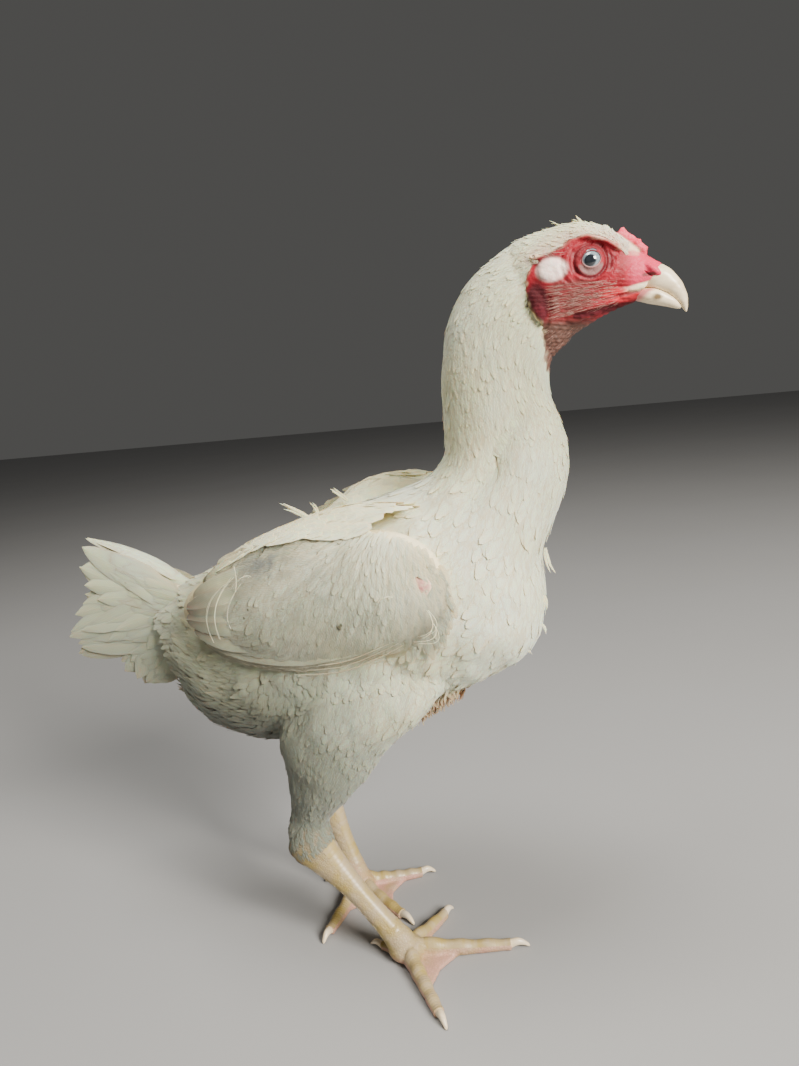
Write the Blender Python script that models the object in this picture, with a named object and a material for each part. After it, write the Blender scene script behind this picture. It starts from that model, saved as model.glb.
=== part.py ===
"""A still, life-size model of a young white shamo hen, standing.

The bird faces +X, its left side is +Y and it stands on the floor, Z = 0. Sizes are worked out in
millimetres and written to the meshes in metres. The working frame has the eyes above X = 0; at the
end the whole bird is moved so that the origin is under the middle of its bounding box.
"""

import math

import bmesh
import bpy
import numpy as np
from mathutils import Matrix, Vector

MM = 0.001
GAP = 0.3
SIDES = {"R": -1.0, "L": 1.0}

# Driving sizes, in millimetres.
EYE_CENTRE = (-2.0, 11.9, 411.5)
EYE_RADIUS = 8.0
LID_OPENING = 6.3
LID_THICKNESS = 1.7
EAR_CENTRE = (-31.5, 18.6, 419.0)
EAR_RADIUS = 2.4
EAR_RIM_THICKNESS = 1.0
TOE_THICKNESS = 10.8
TOE_TAPER = 0.36
TOE_PAD_SWELL = 0.10
HIND_TOE_SHARE = 0.78
FLOOR_SINK = 0.6

# Sections of the trunk from the throat to the rump: back edge (x, z), front or belly edge (x, z),
# half width, and how square the back half and the belly half are (1 is an ellipse, less is squarer).
NECK_SECTIONS = (
    (-50, 425, -25, 363, 19.0, 1.0, 1.0),
    (-70, 411, -27.5, 354, 21.5, 1.0, 1.0),
    (-83.5, 389, -27.5, 342, 23.0, 1.0, 1.0),
    (-89.5, 362, -21.5, 326, 25.0, 1.0, 1.0),
    (-90.5, 338, -19, 310, 28.0, 1.0, 0.95),
    (-91, 318, -21.5, 291, 32.0, 1.0, 0.9),
)
TORSO_SECTIONS = (
    (-91, 318, -21.5, 291, 32.0, 1.0, 0.9),
    (-98, 307, -30, 270, 38.0, 0.95, 0.88),
    (-108, 300, -38, 247, 46.0, 0.85, 0.88),
    (-124, 295, -38, 222, 53.0, 0.75, 0.9),
    (-142, 290, -45, 197, 58.0, 0.72, 1.0),
    (-162, 286, -66, 180, 60.5, 0.72, 1.1),
    (-184, 280, -96, 165, 60.5, 0.75, 1.25),
    (-205, 272, -130, 145, 58.5, 0.8, 1.3),
    (-226, 263, -174, 138, 55.0, 0.85, 1.1),
    (-246, 255, -213, 134, 50.0, 0.9, 0.95),
    (-260, 250, -247, 140, 43.5, 0.95, 0.9),
    (-270, 246, -271, 155, 35.0, 1.0, 0.95),
    (-277, 242, -281, 181, 25.0, 1.0, 1.0),
    (-281, 237, -282, 207, 13.0, 1.0, 1.0),
)
HEAD_SECTIONS = (
    (-50, 425, -25, 363, 18.5, 1.0, 1.0),
    (-39, 430, -19, 370, 19.5, 0.95, 1.05),
    (-25, 433, -12, 376, 20.0, 0.9, 1.1),
    (-9, 434.5, -4, 380.5, 19.3, 0.82, 1.15),
    (4, 431.5, 5, 384.5, 17.0, 0.8, 1.1),
    (13, 425, 12, 387, 13.8, 0.85, 1.0),
    (22, 416.5, 17, 388.5, 10.8, 0.9, 0.95),
    (30, 410.5, 19, 389, 8.8, 0.9, 0.9),
    (35, 407, 20, 389, 7.6, 0.9, 0.9),
)
UPPER_BEAK_SECTIONS = (
    (35, 407, 25.3, 395.4, 7.4, 0.8, 0.8),
    (40.2, 402.6, 31.2, 394.1, 6.6, 0.85, 0.7),
    (44.4, 396.6, 37.0, 391.0, 5.2, 0.9, 0.7),
    (46.9, 389.8, 41.8, 387.0, 3.5, 0.9, 0.8),
    (47.2, 384.4, 44.4, 383.0, 1.9, 1.0, 0.9),
    (46.4, 381.3, 45.8, 381.0, 0.6, 1.0, 1.0),
)
LOWER_BEAK_SECTIONS = (
    (24.7, 394.6, 20, 389, 6.9, 0.7, 0.9),
    (30.8, 393.2, 28, 387.4, 6.0, 0.6, 0.9),
    (36.4, 390.2, 34.8, 385.4, 4.6, 0.6, 0.9),
    (40.8, 386.3, 40.2, 383.6, 2.9, 0.6, 0.9),
    (43.0, 383.9, 42.8, 383.2, 1.0, 0.8, 1.0),
)

# Raised forms and hollows of the face: centre on the left side, radii, turn about Y in degrees.
FACE_FOLDS = {
    "brow": ((1.0, 14.5, 422.0), (15.0, 5.0, 3.6), 22),
    "cheek_fold": ((-30.5, 17.5, 393.0), (5.2, 4.2, 10.5), -18),
    "jowl": ((-4.0, 11.5, 388.0), (17.0, 5.0, 5.0), -14),
    "nostril_rim": ((29.0, 5.6, 404.6), (6.6, 3.8, 3.6), 35),
}
NOSTRIL = ((28.2, 9.2, 402.6), (2.9, 1.9, 1.0), 35)
MOUTH_SLOT = ((6.0, -30.0, 392.1), (27.0, 30.0, 392.8), -7.4)
EAR_LOBE = ((-22.0, 19.0, 408.5), (8.2, 3.8, 6.6), 20)
EAR_LOBE_SWELLING = ((-24.5, 20.3, 406.0), (4.6, 3.4, 4.2), 0)

# The comb: its line on the forehead, the way it stands up, its base and its rows of bulbs.
COMB_LINE = ((9.5, 0.0, 426.8), (26.5, 0.0, 412.6))
COMB_UPWARD = (0.55, 0.0, 0.83)
COMB_BASE = ((12.5, 5.4, 3.4), 40)
COMB_ROWS = (
    # distance from the midline, lift, radius and number of the bulbs
    (0.0, 2.8, 2.6, 5),
    (-3.7, 1.5, 2.1, 4),
    (3.7, 1.5, 2.1, 4),
)

# The legs, seen from the side: the right one is under the body and the left one is set further back.
LEG_OUT = 33.0
THIGH_SECTIONS = (
    # right leg: front edge (x, z), rear edge (x, z), half width, distance from the midline
    (-95, 205, -190, 190, 24.0, 27.0),
    (-100, 176, -201, 162, 26.0, 37.0),
    (-122, 156, -203, 146, 24.0, 39.5),
    (-140, 137, -202, 131, 20.5, 38.0),
    (-156, 117, -203, 113, 16.0, 36.0),
    (-171, 101, -206, 97, 12.0, 34.0),
    (-178, 93, -209, 87, 10.0, 33.0),
)
SHANK_SECTIONS = (
    # share of the way from hock to ankle, bow to the rear, half depth, half width
    (-0.10, -7.0, 14.0, 9.3),
    (0.00, 2.5, 17.5, 10.4),
    (0.11, 5.5, 15.8, 10.2),
    (0.24, 5.2, 12.0, 8.8),
    (0.43, 3.2, 8.6, 7.2),
    (0.63, 2.0, 7.0, 6.3),
    (0.83, 0.9, 6.9, 6.3),
    (1.00, 0.0, 8.0, 7.4),
)
SHANK_SCUTES = 12
SCUTE_HEIGHT = 0.9
LEGS = {
    # hock (x, z), foot centre (x, y), and each toe's heading in degrees from +X and length with its claw
    "R": {
        "hock": (-194.0, 84.0),
        "foot": (-137.0, -38.0),
        "toes": {
            "inner": (67.0, 56.5),
            "middle": (14.0, 82.0),
            "outer": (-56.5, 67.5),
            "hind": (162.0, 31.0),
        },
    },
    "L": {
        "hock": (-208.5, 92.0),
        "foot": (-187.0, 25.0),
        "toes": {
            "inner": (-98.5, 62.0),
            "middle": (-35.0, 62.0),
            "outer": (27.0, 60.0),
            "hind": (168.0, 33.0),
        },
    },
}
TOES = {
    # claw length, number of joint pads, how far behind the foot's centre it starts
    "inner": (13.0, 3, 1.0),
    "middle": (15.5, 4, 1.6),
    "outer": (13.5, 5, 2.3),
    "hind": (12.0, 2, 3.1),
}
WEBS = {
    # reach along the two toes, share of it at the notch, depth under the sole's plane
    "inner": (27.0, 0.72, 0.9),
    "outer": (36.0, 0.70, 1.3),
}
ANKLE_HEIGHT = 17.0
ANKLE_RINGS = ((-3.0, 8.2, 7.5), (8.0, 10.0, 9.0), (15.0, 9.4, 8.8))
SHANK_SIDES = 12
TOE_SIDES = 8
TOE_ROOT_LIFT = 7.0
TOE_PLATE_LENGTH = 7.0
TOE_PLATE_HEIGHT = 0.6
CLAW_ARCH = 1.2

# The folded wing, from its bend at the front to its tips at the rear.
WING_SECTIONS = (
    # x, top z, bottom z, half thickness, distance of the middle from the midline
    (-87, 260, 240, 4.0, 58.0),
    (-91, 269, 230, 9.0, 57.0),
    (-102, 278, 221, 14.0, 56.0),
    (-118, 283, 211, 17.0, 54.5),
    (-142, 283, 205, 18.0, 53.0),
    (-168, 282, 202, 18.0, 52.5),
    (-192, 277, 203, 17.0, 52.0),
    (-216, 267, 208, 14.0, 50.5),
    (-235, 257, 215, 11.0, 48.5),
    (-246, 249, 222, 8.0, 47.0),
    (-251, 242, 229, 4.0, 46.5),
)
WING_LIFT = {"R": 0.0, "L": 11.0}
WING_CORE_THICKNESS = 0.66
WING_SHEET_EDGE = 0.03
WING_SHEET_LEAST = 0.10
WING_TIERS = (
    # name, vanes, x of the roots, x of the tips at the edges and in the middle, height over the core
    ("remex", 10, -112.0, -222.0, -250.0, 0.6),
    ("greater_covert", 7, -103.0, -166.0, -186.0, 3.7),
    ("median_covert", 5, -95.0, -132.0, -146.0, 6.4),
)

# The tail: the stump that carries its vanes, and the line of its tips from the lowest to the highest.
STUMP_SECTIONS = (
    (-270, 245, -276, 190, 19.0, 1.0, 1.0),
    (-284, 250, -286, 191, 19.0, 1.0, 1.0),
    (-297, 254, -297, 193, 16.0, 1.0, 1.0),
    (-310, 252, -308, 199, 11.0, 1.0, 1.0),
    (-318, 243, -315, 210, 5.0, 1.0, 1.0),
)
TAIL_ROOTS = ((-284.0, 200.0), (-283.0, 244.0))
TAIL_TIPS = (
    (-308.0, 180.0),
    (-336.0, 190.0),
    (-361.0, 205.0),
    (-359.0, 223.0),
    (-352.0, 243.0),
    (-353.0, 263.0),
    (-345.0, 277.0),
)
TAIL_TIERS = (
    # name, vanes, share of the fan at the lowest and highest vane, start and end along it, height out
    ("rectrix", 7, -0.02, 1.02, 0.0, 1.0, 0.0),
    ("lower_covert", 3, 0.0, 0.47, 0.0, 0.55, 4.2),
    ("upper_covert", 4, 0.45, 1.0, 0.0, 0.60, 4.2),
)
TAIL_RIDGE = 2.6
TAIL_STUMP_HALF = 4.5
TAIL_TENT = 13.0
TAIL_ARCH = 7.0
VANE_STATIONS = (0.0, 0.22, 0.5, 0.8, 1.0)
VANE_WIDTHS = (0.55, 0.95, 1.0, 0.86, 0.2)
VANE_OVERLAP = 1.65
VANE_THICKNESS = 0.7
VANE_RISE = 1.25
VANE_SINK = 5.0

FINISHES = {
    # colour, roughness
    "white_plumage": ((0.80, 0.78, 0.71), 0.75),
    "red_skin": ((0.62, 0.16, 0.17), 0.55),
    "comb_red": ((0.72, 0.14, 0.19), 0.50),
    "ear_lobe": ((0.80, 0.66, 0.63), 0.60),
    "horn": ((0.79, 0.72, 0.58), 0.40),
    "eye": ((0.34, 0.42, 0.46), 0.10),
    "leg_scales": ((0.72, 0.60, 0.38), 0.50),
    "claw": ((0.70, 0.62, 0.50), 0.40),
}


def start_empty_scene():
    """Removes what the scene holds and returns the collections for the bird and for helpers."""
    for found in list(bpy.data.objects):
        bpy.data.objects.remove(found)
    bird = bpy.data.collections.new("shamo_hen")
    helpers = bpy.data.collections.new("helpers")
    for made in (bird, helpers):
        bpy.context.scene.collection.children.link(made)
    return bird, helpers


def make_finishes():
    """One Principled material for each finish."""
    made = {}
    for name, (colour, roughness) in FINISHES.items():
        material = bpy.data.materials.new(name)
        material.use_nodes = True
        shader = material.node_tree.nodes["Principled BSDF"]
        shader.inputs["Base Color"].default_value = (*colour, 1.0)
        shader.inputs["Roughness"].default_value = roughness
        shader.inputs["Metallic"].default_value = 0.0
        made[name] = material
    return made


def mesh_object(name, points, faces, collection):
    """A named object from points in millimetres."""
    mesh = bpy.data.meshes.new(name)
    mesh.from_pydata([tuple(float(c) * MM for c in p) for p in points], [], faces)
    mesh.validate()
    made = bpy.data.objects.new(name, mesh)
    collection.objects.link(made)
    face_outwards(made)
    return made


def face_outwards(made):
    """Points all faces of a closed mesh out."""
    shape = bmesh.new()
    shape.from_mesh(made.data)
    bmesh.ops.recalc_face_normals(shape, faces=shape.faces)
    if shape.calc_volume(signed=True) < 0:
        bmesh.ops.reverse_faces(shape, faces=shape.faces)
    shape.to_mesh(made.data)
    shape.free()


def smooth_rows(keys, count):
    """Rows of numbers spaced evenly along a smooth curve through the key rows."""
    rows = np.array(keys, float)
    slopes = np.gradient(rows, axis=0)
    made = []
    for place in np.linspace(0, len(rows) - 1, count):
        i = min(int(place), len(rows) - 2)
        t = place - i
        made.append(
            rows[i] * (2 * t**3 - 3 * t**2 + 1)
            + slopes[i] * (t**3 - 2 * t**2 + t)
            + rows[i + 1] * (3 * t**2 - 2 * t**3)
            + slopes[i + 1] * (t**3 - t**2)
        )
    return made


def section_ring(row, sides, y_centre=0.0):
    """Points round one section whose plane holds its two edges and the Y direction."""
    back_x, back_z, front_x, front_z, half_width, back_square, front_square = row
    ring = []
    for i in range(sides):
        angle = math.tau * i / sides
        along = math.cos(angle)
        across = math.sin(angle)
        square = back_square if along > 0 else front_square
        x = (back_x + front_x) / 2 + along * (back_x - front_x) / 2
        z = (back_z + front_z) / 2 + along * (back_z - front_z) / 2
        y = y_centre + half_width * math.copysign(abs(across) ** square, across)
        ring.append((x, y, z))
    return ring


def loft(name, rings, collection):
    """A closed skin over rings of equal length, with a fan at each end."""
    sides = len(rings[0])
    points = [p for ring in rings for p in ring]
    faces = []
    for r in range(len(rings) - 1):
        for s in range(sides):
            near, far = r * sides, (r + 1) * sides
            faces.append((near + s, near + (s + 1) % sides, far + (s + 1) % sides, far + s))
    for first, ring in ((0, rings[0]), ((len(rings) - 1) * sides, rings[-1])):
        middle = len(points)
        points.append(tuple(np.mean(np.array(ring), axis=0)))
        faces += [(first + s, first + (s + 1) % sides, middle) for s in range(sides)]
    return mesh_object(name, points, faces, collection)


def trunk_loft(name, keys, rings, sides, collection, start_gap=0.0, end_gap=0.0):
    """A loft through trunk sections, with its ends drawn in so that neighbours keep their gap."""
    rows = smooth_rows(keys, rings)
    draw_in(rows, 0, 1, start_gap)
    draw_in(rows, -1, -2, end_gap)
    return loft(name, [section_ring(row, sides) for row in rows], collection)


def draw_in(rows, end, inner, distance):
    """Moves the end section towards its neighbour by a distance."""
    step = (rows[inner][:4] - rows[end][:4]).reshape(2, 2).mean(axis=0)
    step = step / np.linalg.norm(step) * distance
    rows[end][:4] += np.tile(step, 2)


def ellipsoid(name, centre, radii, collection, segments=16, rings=10, turn=0.0):
    """An ellipsoid from a UV sphere, turned about Y by degrees."""
    bpy.ops.object.select_all(action="DESELECT")
    bpy.ops.mesh.primitive_uv_sphere_add(segments=segments, ring_count=rings, radius=1.0)
    made = bpy.context.active_object
    made.name = name
    place = Matrix.Translation(Vector(centre) * MM) @ Matrix.Rotation(math.radians(turn), 4, "Y")
    made.data.transform(place @ Matrix.Diagonal((*(r * MM for r in radii), 1.0)))
    move_to(made, collection)
    return made


def on_side(side, form, name, collection, segments, rings):
    """An ellipsoid of the face's tables, on the side asked."""
    (x, out, z), radii, turn = form
    return ellipsoid(name, (x, side * out, z), radii, collection, segments, rings, turn)


def ring_round(name, centre, major, minor, collection, flatten=1.0, segments=16):
    """A torus about the Y direction, flattened along it where asked."""
    bpy.ops.object.select_all(action="DESELECT")
    bpy.ops.mesh.primitive_torus_add(
        major_radius=major * MM, minor_radius=minor * MM, major_segments=segments, minor_segments=6
    )
    made = bpy.context.active_object
    made.name = name
    turned = Matrix.Rotation(math.radians(90), 4, "X")
    flat = Matrix.Diagonal((1.0, flatten, 1.0, 1.0))
    made.data.transform(Matrix.Translation(Vector(centre) * MM) @ flat @ turned)
    move_to(made, collection)
    return made


def block(name, low, high, collection, turn=0.0):
    """A box between two corners, turned about Y round its centre by degrees."""
    bpy.ops.object.select_all(action="DESELECT")
    bpy.ops.mesh.primitive_cube_add(size=1.0)
    made = bpy.context.active_object
    made.name = name
    low, high = Vector(low) * MM, Vector(high) * MM
    place = Matrix.Translation((low + high) / 2) @ Matrix.Rotation(math.radians(turn), 4, "Y")
    made.data.transform(place @ Matrix.Diagonal((*(high - low), 1.0)))
    move_to(made, collection)
    return made


def move_to(made, collection):
    """Puts an object in one collection only."""
    for holder in list(made.users_collection):
        holder.objects.unlink(made)
    collection.objects.link(made)


def is_closed(mesh):
    """Whether a mesh has faces, and two of them at each edge."""
    shape = bmesh.new()
    shape.from_mesh(mesh)
    closed = len(shape.faces) > 0 and all(len(edge.link_faces) == 2 for edge in shape.edges)
    shape.free()
    return closed


def apply_boolean(made, others, operation):
    """Joins or cuts by a collection of closed meshes, applies it and removes them.

    The exact solver is tried first, and the manifold one where that leaves the surface open.
    """
    group = bpy.data.collections.new(made.name + "_pieces")
    bpy.context.scene.collection.children.link(group)
    for other in others:
        move_to(other, group)
    boolean = made.modifiers.new(operation.lower(), "BOOLEAN")
    boolean.operand_type = "COLLECTION"
    boolean.collection = group
    boolean.operation = operation
    for solver in ("EXACT", "MANIFOLD"):
        boolean.solver = solver
        graph = bpy.context.evaluated_depsgraph_get()
        result = bpy.data.meshes.new_from_object(made.evaluated_get(graph))
        if is_closed(result):
            break
    made.modifiers.clear()
    made.data = result
    for other in others:
        bpy.data.objects.remove(other)
    bpy.data.collections.remove(group)
    return made


def keep_largest(made):
    """Keeps only the largest closed surface of a mesh, without flaps that have no thickness."""
    shape = bmesh.new()
    shape.from_mesh(made.data)
    bmesh.ops.triangulate(shape, faces=shape.faces)
    bmesh.ops.remove_doubles(shape, verts=shape.verts, dist=1e-6)
    twins = {}
    for face in shape.faces:
        twins.setdefault(frozenset(face.verts), []).append(face)
    flaps = [face for same in twins.values() if len(same) > 1 for face in same]
    bmesh.ops.delete(shape, geom=flaps, context="FACES")
    left = set(shape.faces)
    islands = []
    while left:
        waiting = [left.pop()]
        island = []
        while waiting:
            face = waiting.pop()
            island.append(face)
            for edge in face.edges:
                for linked in edge.link_faces:
                    if linked in left:
                        left.remove(linked)
                        waiting.append(linked)
        islands.append(island)
    islands.sort(key=lambda island: sum(face.calc_area() for face in island))
    scraps = [face for island in islands[:-1] for face in island]
    bmesh.ops.delete(shape, geom=scraps, context="FACES")
    shape.to_mesh(made.data)
    shape.free()
    return made


def grown_copy(source, distance, collection):
    """A copy whose surface lies further out by a distance, for cutting a neighbour clear of it."""
    copy = bpy.data.objects.new(source.name + "_grown", source.data.copy())
    collection.objects.link(copy)
    shape = bmesh.new()
    shape.from_mesh(copy.data)
    shape.normal_update()
    moved = [v.co + v.normal * distance * MM for v in shape.verts]
    for vertex, place in zip(shape.verts, moved):
        vertex.co = place
    shape.to_mesh(copy.data)
    shape.free()
    return copy


def finish_node(made, material, angle=35.0):
    """Gives a node its finish and smooth shading with sharp edges."""
    made.data.materials.clear()
    made.data.materials.append(material)
    made.data.shade_smooth()
    made.data.set_sharp_from_angle(angle=math.radians(angle))
    return made


def feather_tier(place, middles, spacing, lift, collection):
    """Thin vanes that overlap like shingles: each one's lower edge lies over the next one down.

    place(share, run) gives a point of the tier's sheet and the way out of it, where share goes from
    the lowest vane to the highest and run goes from the roots to the tips.
    """
    made = []
    for middle in middles:
        rings = []
        for run, width in zip(VANE_STATIONS, VANE_WIDTHS):
            half = spacing * VANE_OVERLAP / 2 * width
            sink = VANE_SINK * max(0.0, 1.0 - run / VANE_STATIONS[1])
            ring = []
            for share in (middle - half, middle + half):
                point, outward = place(share, run)
                ring.append(point + outward * (lift - sink + VANE_RISE * (middle - share) / spacing))
            low, high = ring
            rings.append([low, high, high - outward * VANE_THICKNESS, low - outward * VANE_THICKNESS])
        made.append(loft("vane", rings, collection))
    return made


def evenly(first, last, count):
    """Shares from the first to the last."""
    return [first + (last - first) * i / (count - 1) for i in range(count)]


def vane_middles(lowest, highest, count):
    """Middles and spacing of vanes that fill a tier from its lowest share to its highest."""
    spacing = (highest - lowest) / (count - 1 + VANE_OVERLAP)
    margin = spacing * VANE_OVERLAP / 2
    return evenly(lowest + margin, highest - margin, count), spacing


def make_torso(bird):
    return trunk_loft("torso", TORSO_SECTIONS, 25, 22, bird, start_gap=GAP)


def make_neck(bird):
    return trunk_loft("neck", NECK_SECTIONS, 11, 22, bird, start_gap=GAP)


def make_head(bird, helpers):
    """The face with brow, lids, cheek folds and nostril rims, and sockets, ears, nostrils and mouth."""
    head = trunk_loft("head", HEAD_SECTIONS, 18, 20, bird, end_gap=GAP)
    raised, hollows = [], []
    eye_x, eye_out, eye_z = EYE_CENTRE
    ear_x, ear_out, ear_z = EAR_CENTRE
    for side in SIDES.values():
        lid_plane = side * (eye_out + math.sqrt(EYE_RADIUS**2 - LID_OPENING**2) - 0.2)
        lid_ring = LID_OPENING + LID_THICKNESS - 0.1
        raised.append(ring_round("lid", (eye_x, lid_plane, eye_z), lid_ring, LID_THICKNESS, helpers, 0.9))
        ear_place = (ear_x, side * ear_out, ear_z)
        ear_ring = EAR_RADIUS + EAR_RIM_THICKNESS - 0.1
        raised.append(ring_round("ear_rim", ear_place, ear_ring, EAR_RIM_THICKNESS, helpers, 0.8, 10))
        raised += [on_side(side, form, name, helpers, 10, 5) for name, form in FACE_FOLDS.items()]
        socket = (eye_x, side * eye_out, eye_z)
        hollows.append(ellipsoid("socket", socket, (EYE_RADIUS + GAP,) * 3, helpers, 14, 8))
        hollows.append(ellipsoid("ear_cup", ear_place, (EAR_RADIUS, 3.0, EAR_RADIUS), helpers, 6, 4))
        hollows.append(on_side(side, NOSTRIL, "nostril", helpers, 6, 4))
    low, high, turn = MOUTH_SLOT
    hollows.append(block("mouth", low, high, helpers, turn))
    hollows.append(beak_side_block(helpers))
    apply_boolean(head, raised, "UNION")
    apply_boolean(head, hollows, "DIFFERENCE")
    return keep_largest(head)


def beak_side_block(helpers):
    """A block in front of the face's last section, so that nothing raised on it reaches the beak."""
    top_x, top_z, low_x, low_z = HEAD_SECTIONS[-1][:4]
    lean = Matrix.Rotation(math.atan2(top_x - low_x, top_z - low_z), 4, "Y")
    front = block("front_trim", (-GAP, -30.0, -20.0), (30.0, 30.0, 40.0), helpers)
    front.data.transform(Matrix.Translation(Vector((low_x, 0.0, low_z)) * MM) @ lean)
    return front


def make_beak(bird):
    upper = trunk_loft("beak_upper", UPPER_BEAK_SECTIONS, 10, 14, bird)
    lower = trunk_loft("beak_lower", LOWER_BEAK_SECTIONS, 8, 12, bird)
    return upper, lower


def make_comb(bird, head, helpers):
    """A pea comb: three rows of small bulbs, the middle row highest, on the forehead."""
    start, end = (Vector(point) for point in COMB_LINE)
    radii, turn = COMB_BASE
    comb = ellipsoid("comb", (start + end) / 2, radii, bird, 12, 6, turn)
    bulbs = []
    for out, lift, size, count in COMB_ROWS:
        for share in evenly(0.5 / count, 1.0 - 0.5 / count, count):
            rise = lift * math.sin(math.pi * (0.2 + 0.7 * share))
            place = start.lerp(end, share) + Vector(COMB_UPWARD) * rise
            radius = size * (1.0 - 0.25 * abs(share - 0.45))
            radii = (radius, radius * 0.9, radius * 1.15)
            bulbs.append(ellipsoid("bulb", (place.x, out, place.z), radii, helpers, 6, 4))
    apply_boolean(comb, bulbs, "UNION")
    apply_boolean(comb, [grown_copy(head, GAP, helpers)], "DIFFERENCE")
    return keep_largest(comb)


def make_ear_lobe(side, bird, head, helpers):
    """The pale lobe below the ear, a rounded pad on the side of the head."""
    lobe = on_side(SIDES[side], EAR_LOBE, "ear_lobe_" + side, bird, 14, 8)
    swelling = on_side(SIDES[side], EAR_LOBE_SWELLING, "swelling", helpers, 10, 6)
    apply_boolean(lobe, [swelling], "UNION")
    apply_boolean(lobe, [grown_copy(head, GAP, helpers)], "DIFFERENCE")
    return keep_largest(lobe)


def make_eye(side, bird):
    x, out, z = EYE_CENTRE
    return ellipsoid("eye_" + side, (x, SIDES[side] * out, z), (EYE_RADIUS,) * 3, bird, 16, 10)


def make_thigh(side, bird, torso, helpers):
    """The feathered drumstick, from inside the flank to the hock, cut clear of the torso."""
    hock, right_hock = LEGS[side]["hock"], LEGS["R"]["hock"]
    rows = []
    for i, (front_x, front_z, rear_x, rear_z, half, out) in enumerate(THIGH_SECTIONS):
        share = i / (len(THIGH_SECTIONS) - 1)
        x, z = (hock[0] - right_hock[0]) * share, (hock[1] - right_hock[1]) * share
        rows.append((rear_x + x, rear_z + z, front_x + x, front_z + z, half, 0.9, 0.95, out))
    rings = [section_ring(row[:7], 18, SIDES[side] * row[7]) for row in smooth_rows(rows, 13)]
    thigh = loft("thigh_" + side, rings, bird)
    apply_boolean(thigh, [grown_copy(torso, GAP, helpers)], "DIFFERENCE")
    return keep_largest(thigh)


def shank_course(side):
    """Hock, ankle, the way down the shank and the way to its rear."""
    hock_x, hock_z = LEGS[side]["hock"]
    foot_x, foot_y = LEGS[side]["foot"]
    lean = (foot_x - hock_x) / hock_z
    hock = Vector((hock_x, SIDES[side] * LEG_OUT, hock_z))
    ankle = Vector((foot_x - lean * ANKLE_HEIGHT * 0.6, foot_y, ANKLE_HEIGHT))
    down = (ankle - hock).normalized()
    rear = down.cross(Vector((0.0, 1.0, 0.0))).normalized()
    if rear.x > 0:
        rear.negate()
    return hock, ankle, down, rear


def leg_ring(centre, rear, deep, half, plate=0.0):
    """A ring round the shank, its front half standing out by a plate."""
    ring = []
    for s in range(SHANK_SIDES):
        angle = math.tau * s / SHANK_SIDES
        front = math.sqrt(max(0.0, math.cos(angle)))
        reach = (deep + plate * front) * math.cos(angle)
        wide = (half + plate * front / 2) * math.sin(angle)
        ring.append(centre - rear * reach + Vector((0.0, wide, 0.0)))
    return ring


def make_shank(side, bird, thigh, helpers):
    """The bare shank: a bulging hock, a slimmer shaft and a row of plates down its front."""
    hock, ankle, down, rear = shank_course(side)
    rings = []
    for i, (share, bow, deep, half) in enumerate(smooth_rows(SHANK_SECTIONS, 2 * SHANK_SCUTES)):
        plate = SCUTE_HEIGHT * (i % 2) * min(1.0, max(0.0, share * 4.0))
        rings.append(leg_ring(hock.lerp(ankle, share) + rear * bow, rear, deep, half, plate))
    rings[-1] = [point - down * GAP for point in rings[-1]]
    shank = loft("shank_" + side, rings, bird)
    apply_boolean(shank, [grown_copy(thigh, GAP, helpers)], "DIFFERENCE")
    return keep_largest(shank)


def toe_course(side, toe):
    """Root, tip and unit heading of a toe, on the floor."""
    foot_x, foot_y = LEGS[side]["foot"]
    heading, length = LEGS[side]["toes"][toe]
    heading = math.radians(heading)
    along = Vector((math.cos(heading), math.sin(heading), 0.0))
    root = Vector((foot_x, foot_y, 0.0))
    return root, root + along * (length - TOES[toe][0]), along


def toe_half_thickness(toe, share):
    """Half thickness of a toe: slimmer to the tip, with a swelling at each pad."""
    slim = 1.0 - TOE_TAPER * share
    pads = TOES[toe][1]
    swell = 1.0 + TOE_PAD_SWELL * math.cos(math.tau * (share * pads - 0.15))
    size = HIND_TOE_SHARE if toe == "hind" else 1.0
    return TOE_THICKNESS / 2 * slim * swell * size


def make_toe(side, toe, helpers):
    """One toe as a loft on the floor, with plates across its top."""
    root, tip, along = toe_course(side, toe)
    root = root - along * TOES[toe][2]
    across = Vector((-along.y, along.x, 0.0))
    plates = max(4, round((tip - root).length / TOE_PLATE_LENGTH))
    rings = []
    for i in range(2 * plates):
        share = i / (2 * plates - 1)
        half = toe_half_thickness(toe, share)
        lift = TOE_ROOT_LIFT * (1.0 - share) ** 3
        plate = TOE_PLATE_HEIGHT * (i % 2)
        ring = []
        for s in range(TOE_SIDES):
            angle = math.tau * s / TOE_SIDES
            top = max(0.0, math.cos(angle))
            height = half - FLOOR_SINK + lift * top + (half + plate * top) * math.cos(angle)
            middle = root.lerp(tip, share) + across * half * math.sin(angle)
            ring.append(middle + Vector((0.0, 0.0, height)))
        rings.append(ring)
    return loft("toe_" + toe, rings, helpers)


def make_web(side, toe, helpers):
    """The low fold of skin between the middle toe and the toe beside it."""
    root, _, along_a = toe_course(side, "middle")
    _, _, along_b = toe_course(side, toe)
    reach, notch, depth = WEBS[toe]
    between = (along_a + along_b).normalized() * reach * notch
    corners = [root, root + along_a * reach, root + between, root + along_b * reach]
    heights = (4.8, 3.2, 2.6, 3.2)
    low = [corner - Vector((0.0, 0.0, depth)) for corner in corners]
    high = [corner + Vector((0.0, 0.0, height)) for corner, height in zip(corners, heights)]
    return loft("web", [low, high], helpers)


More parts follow.
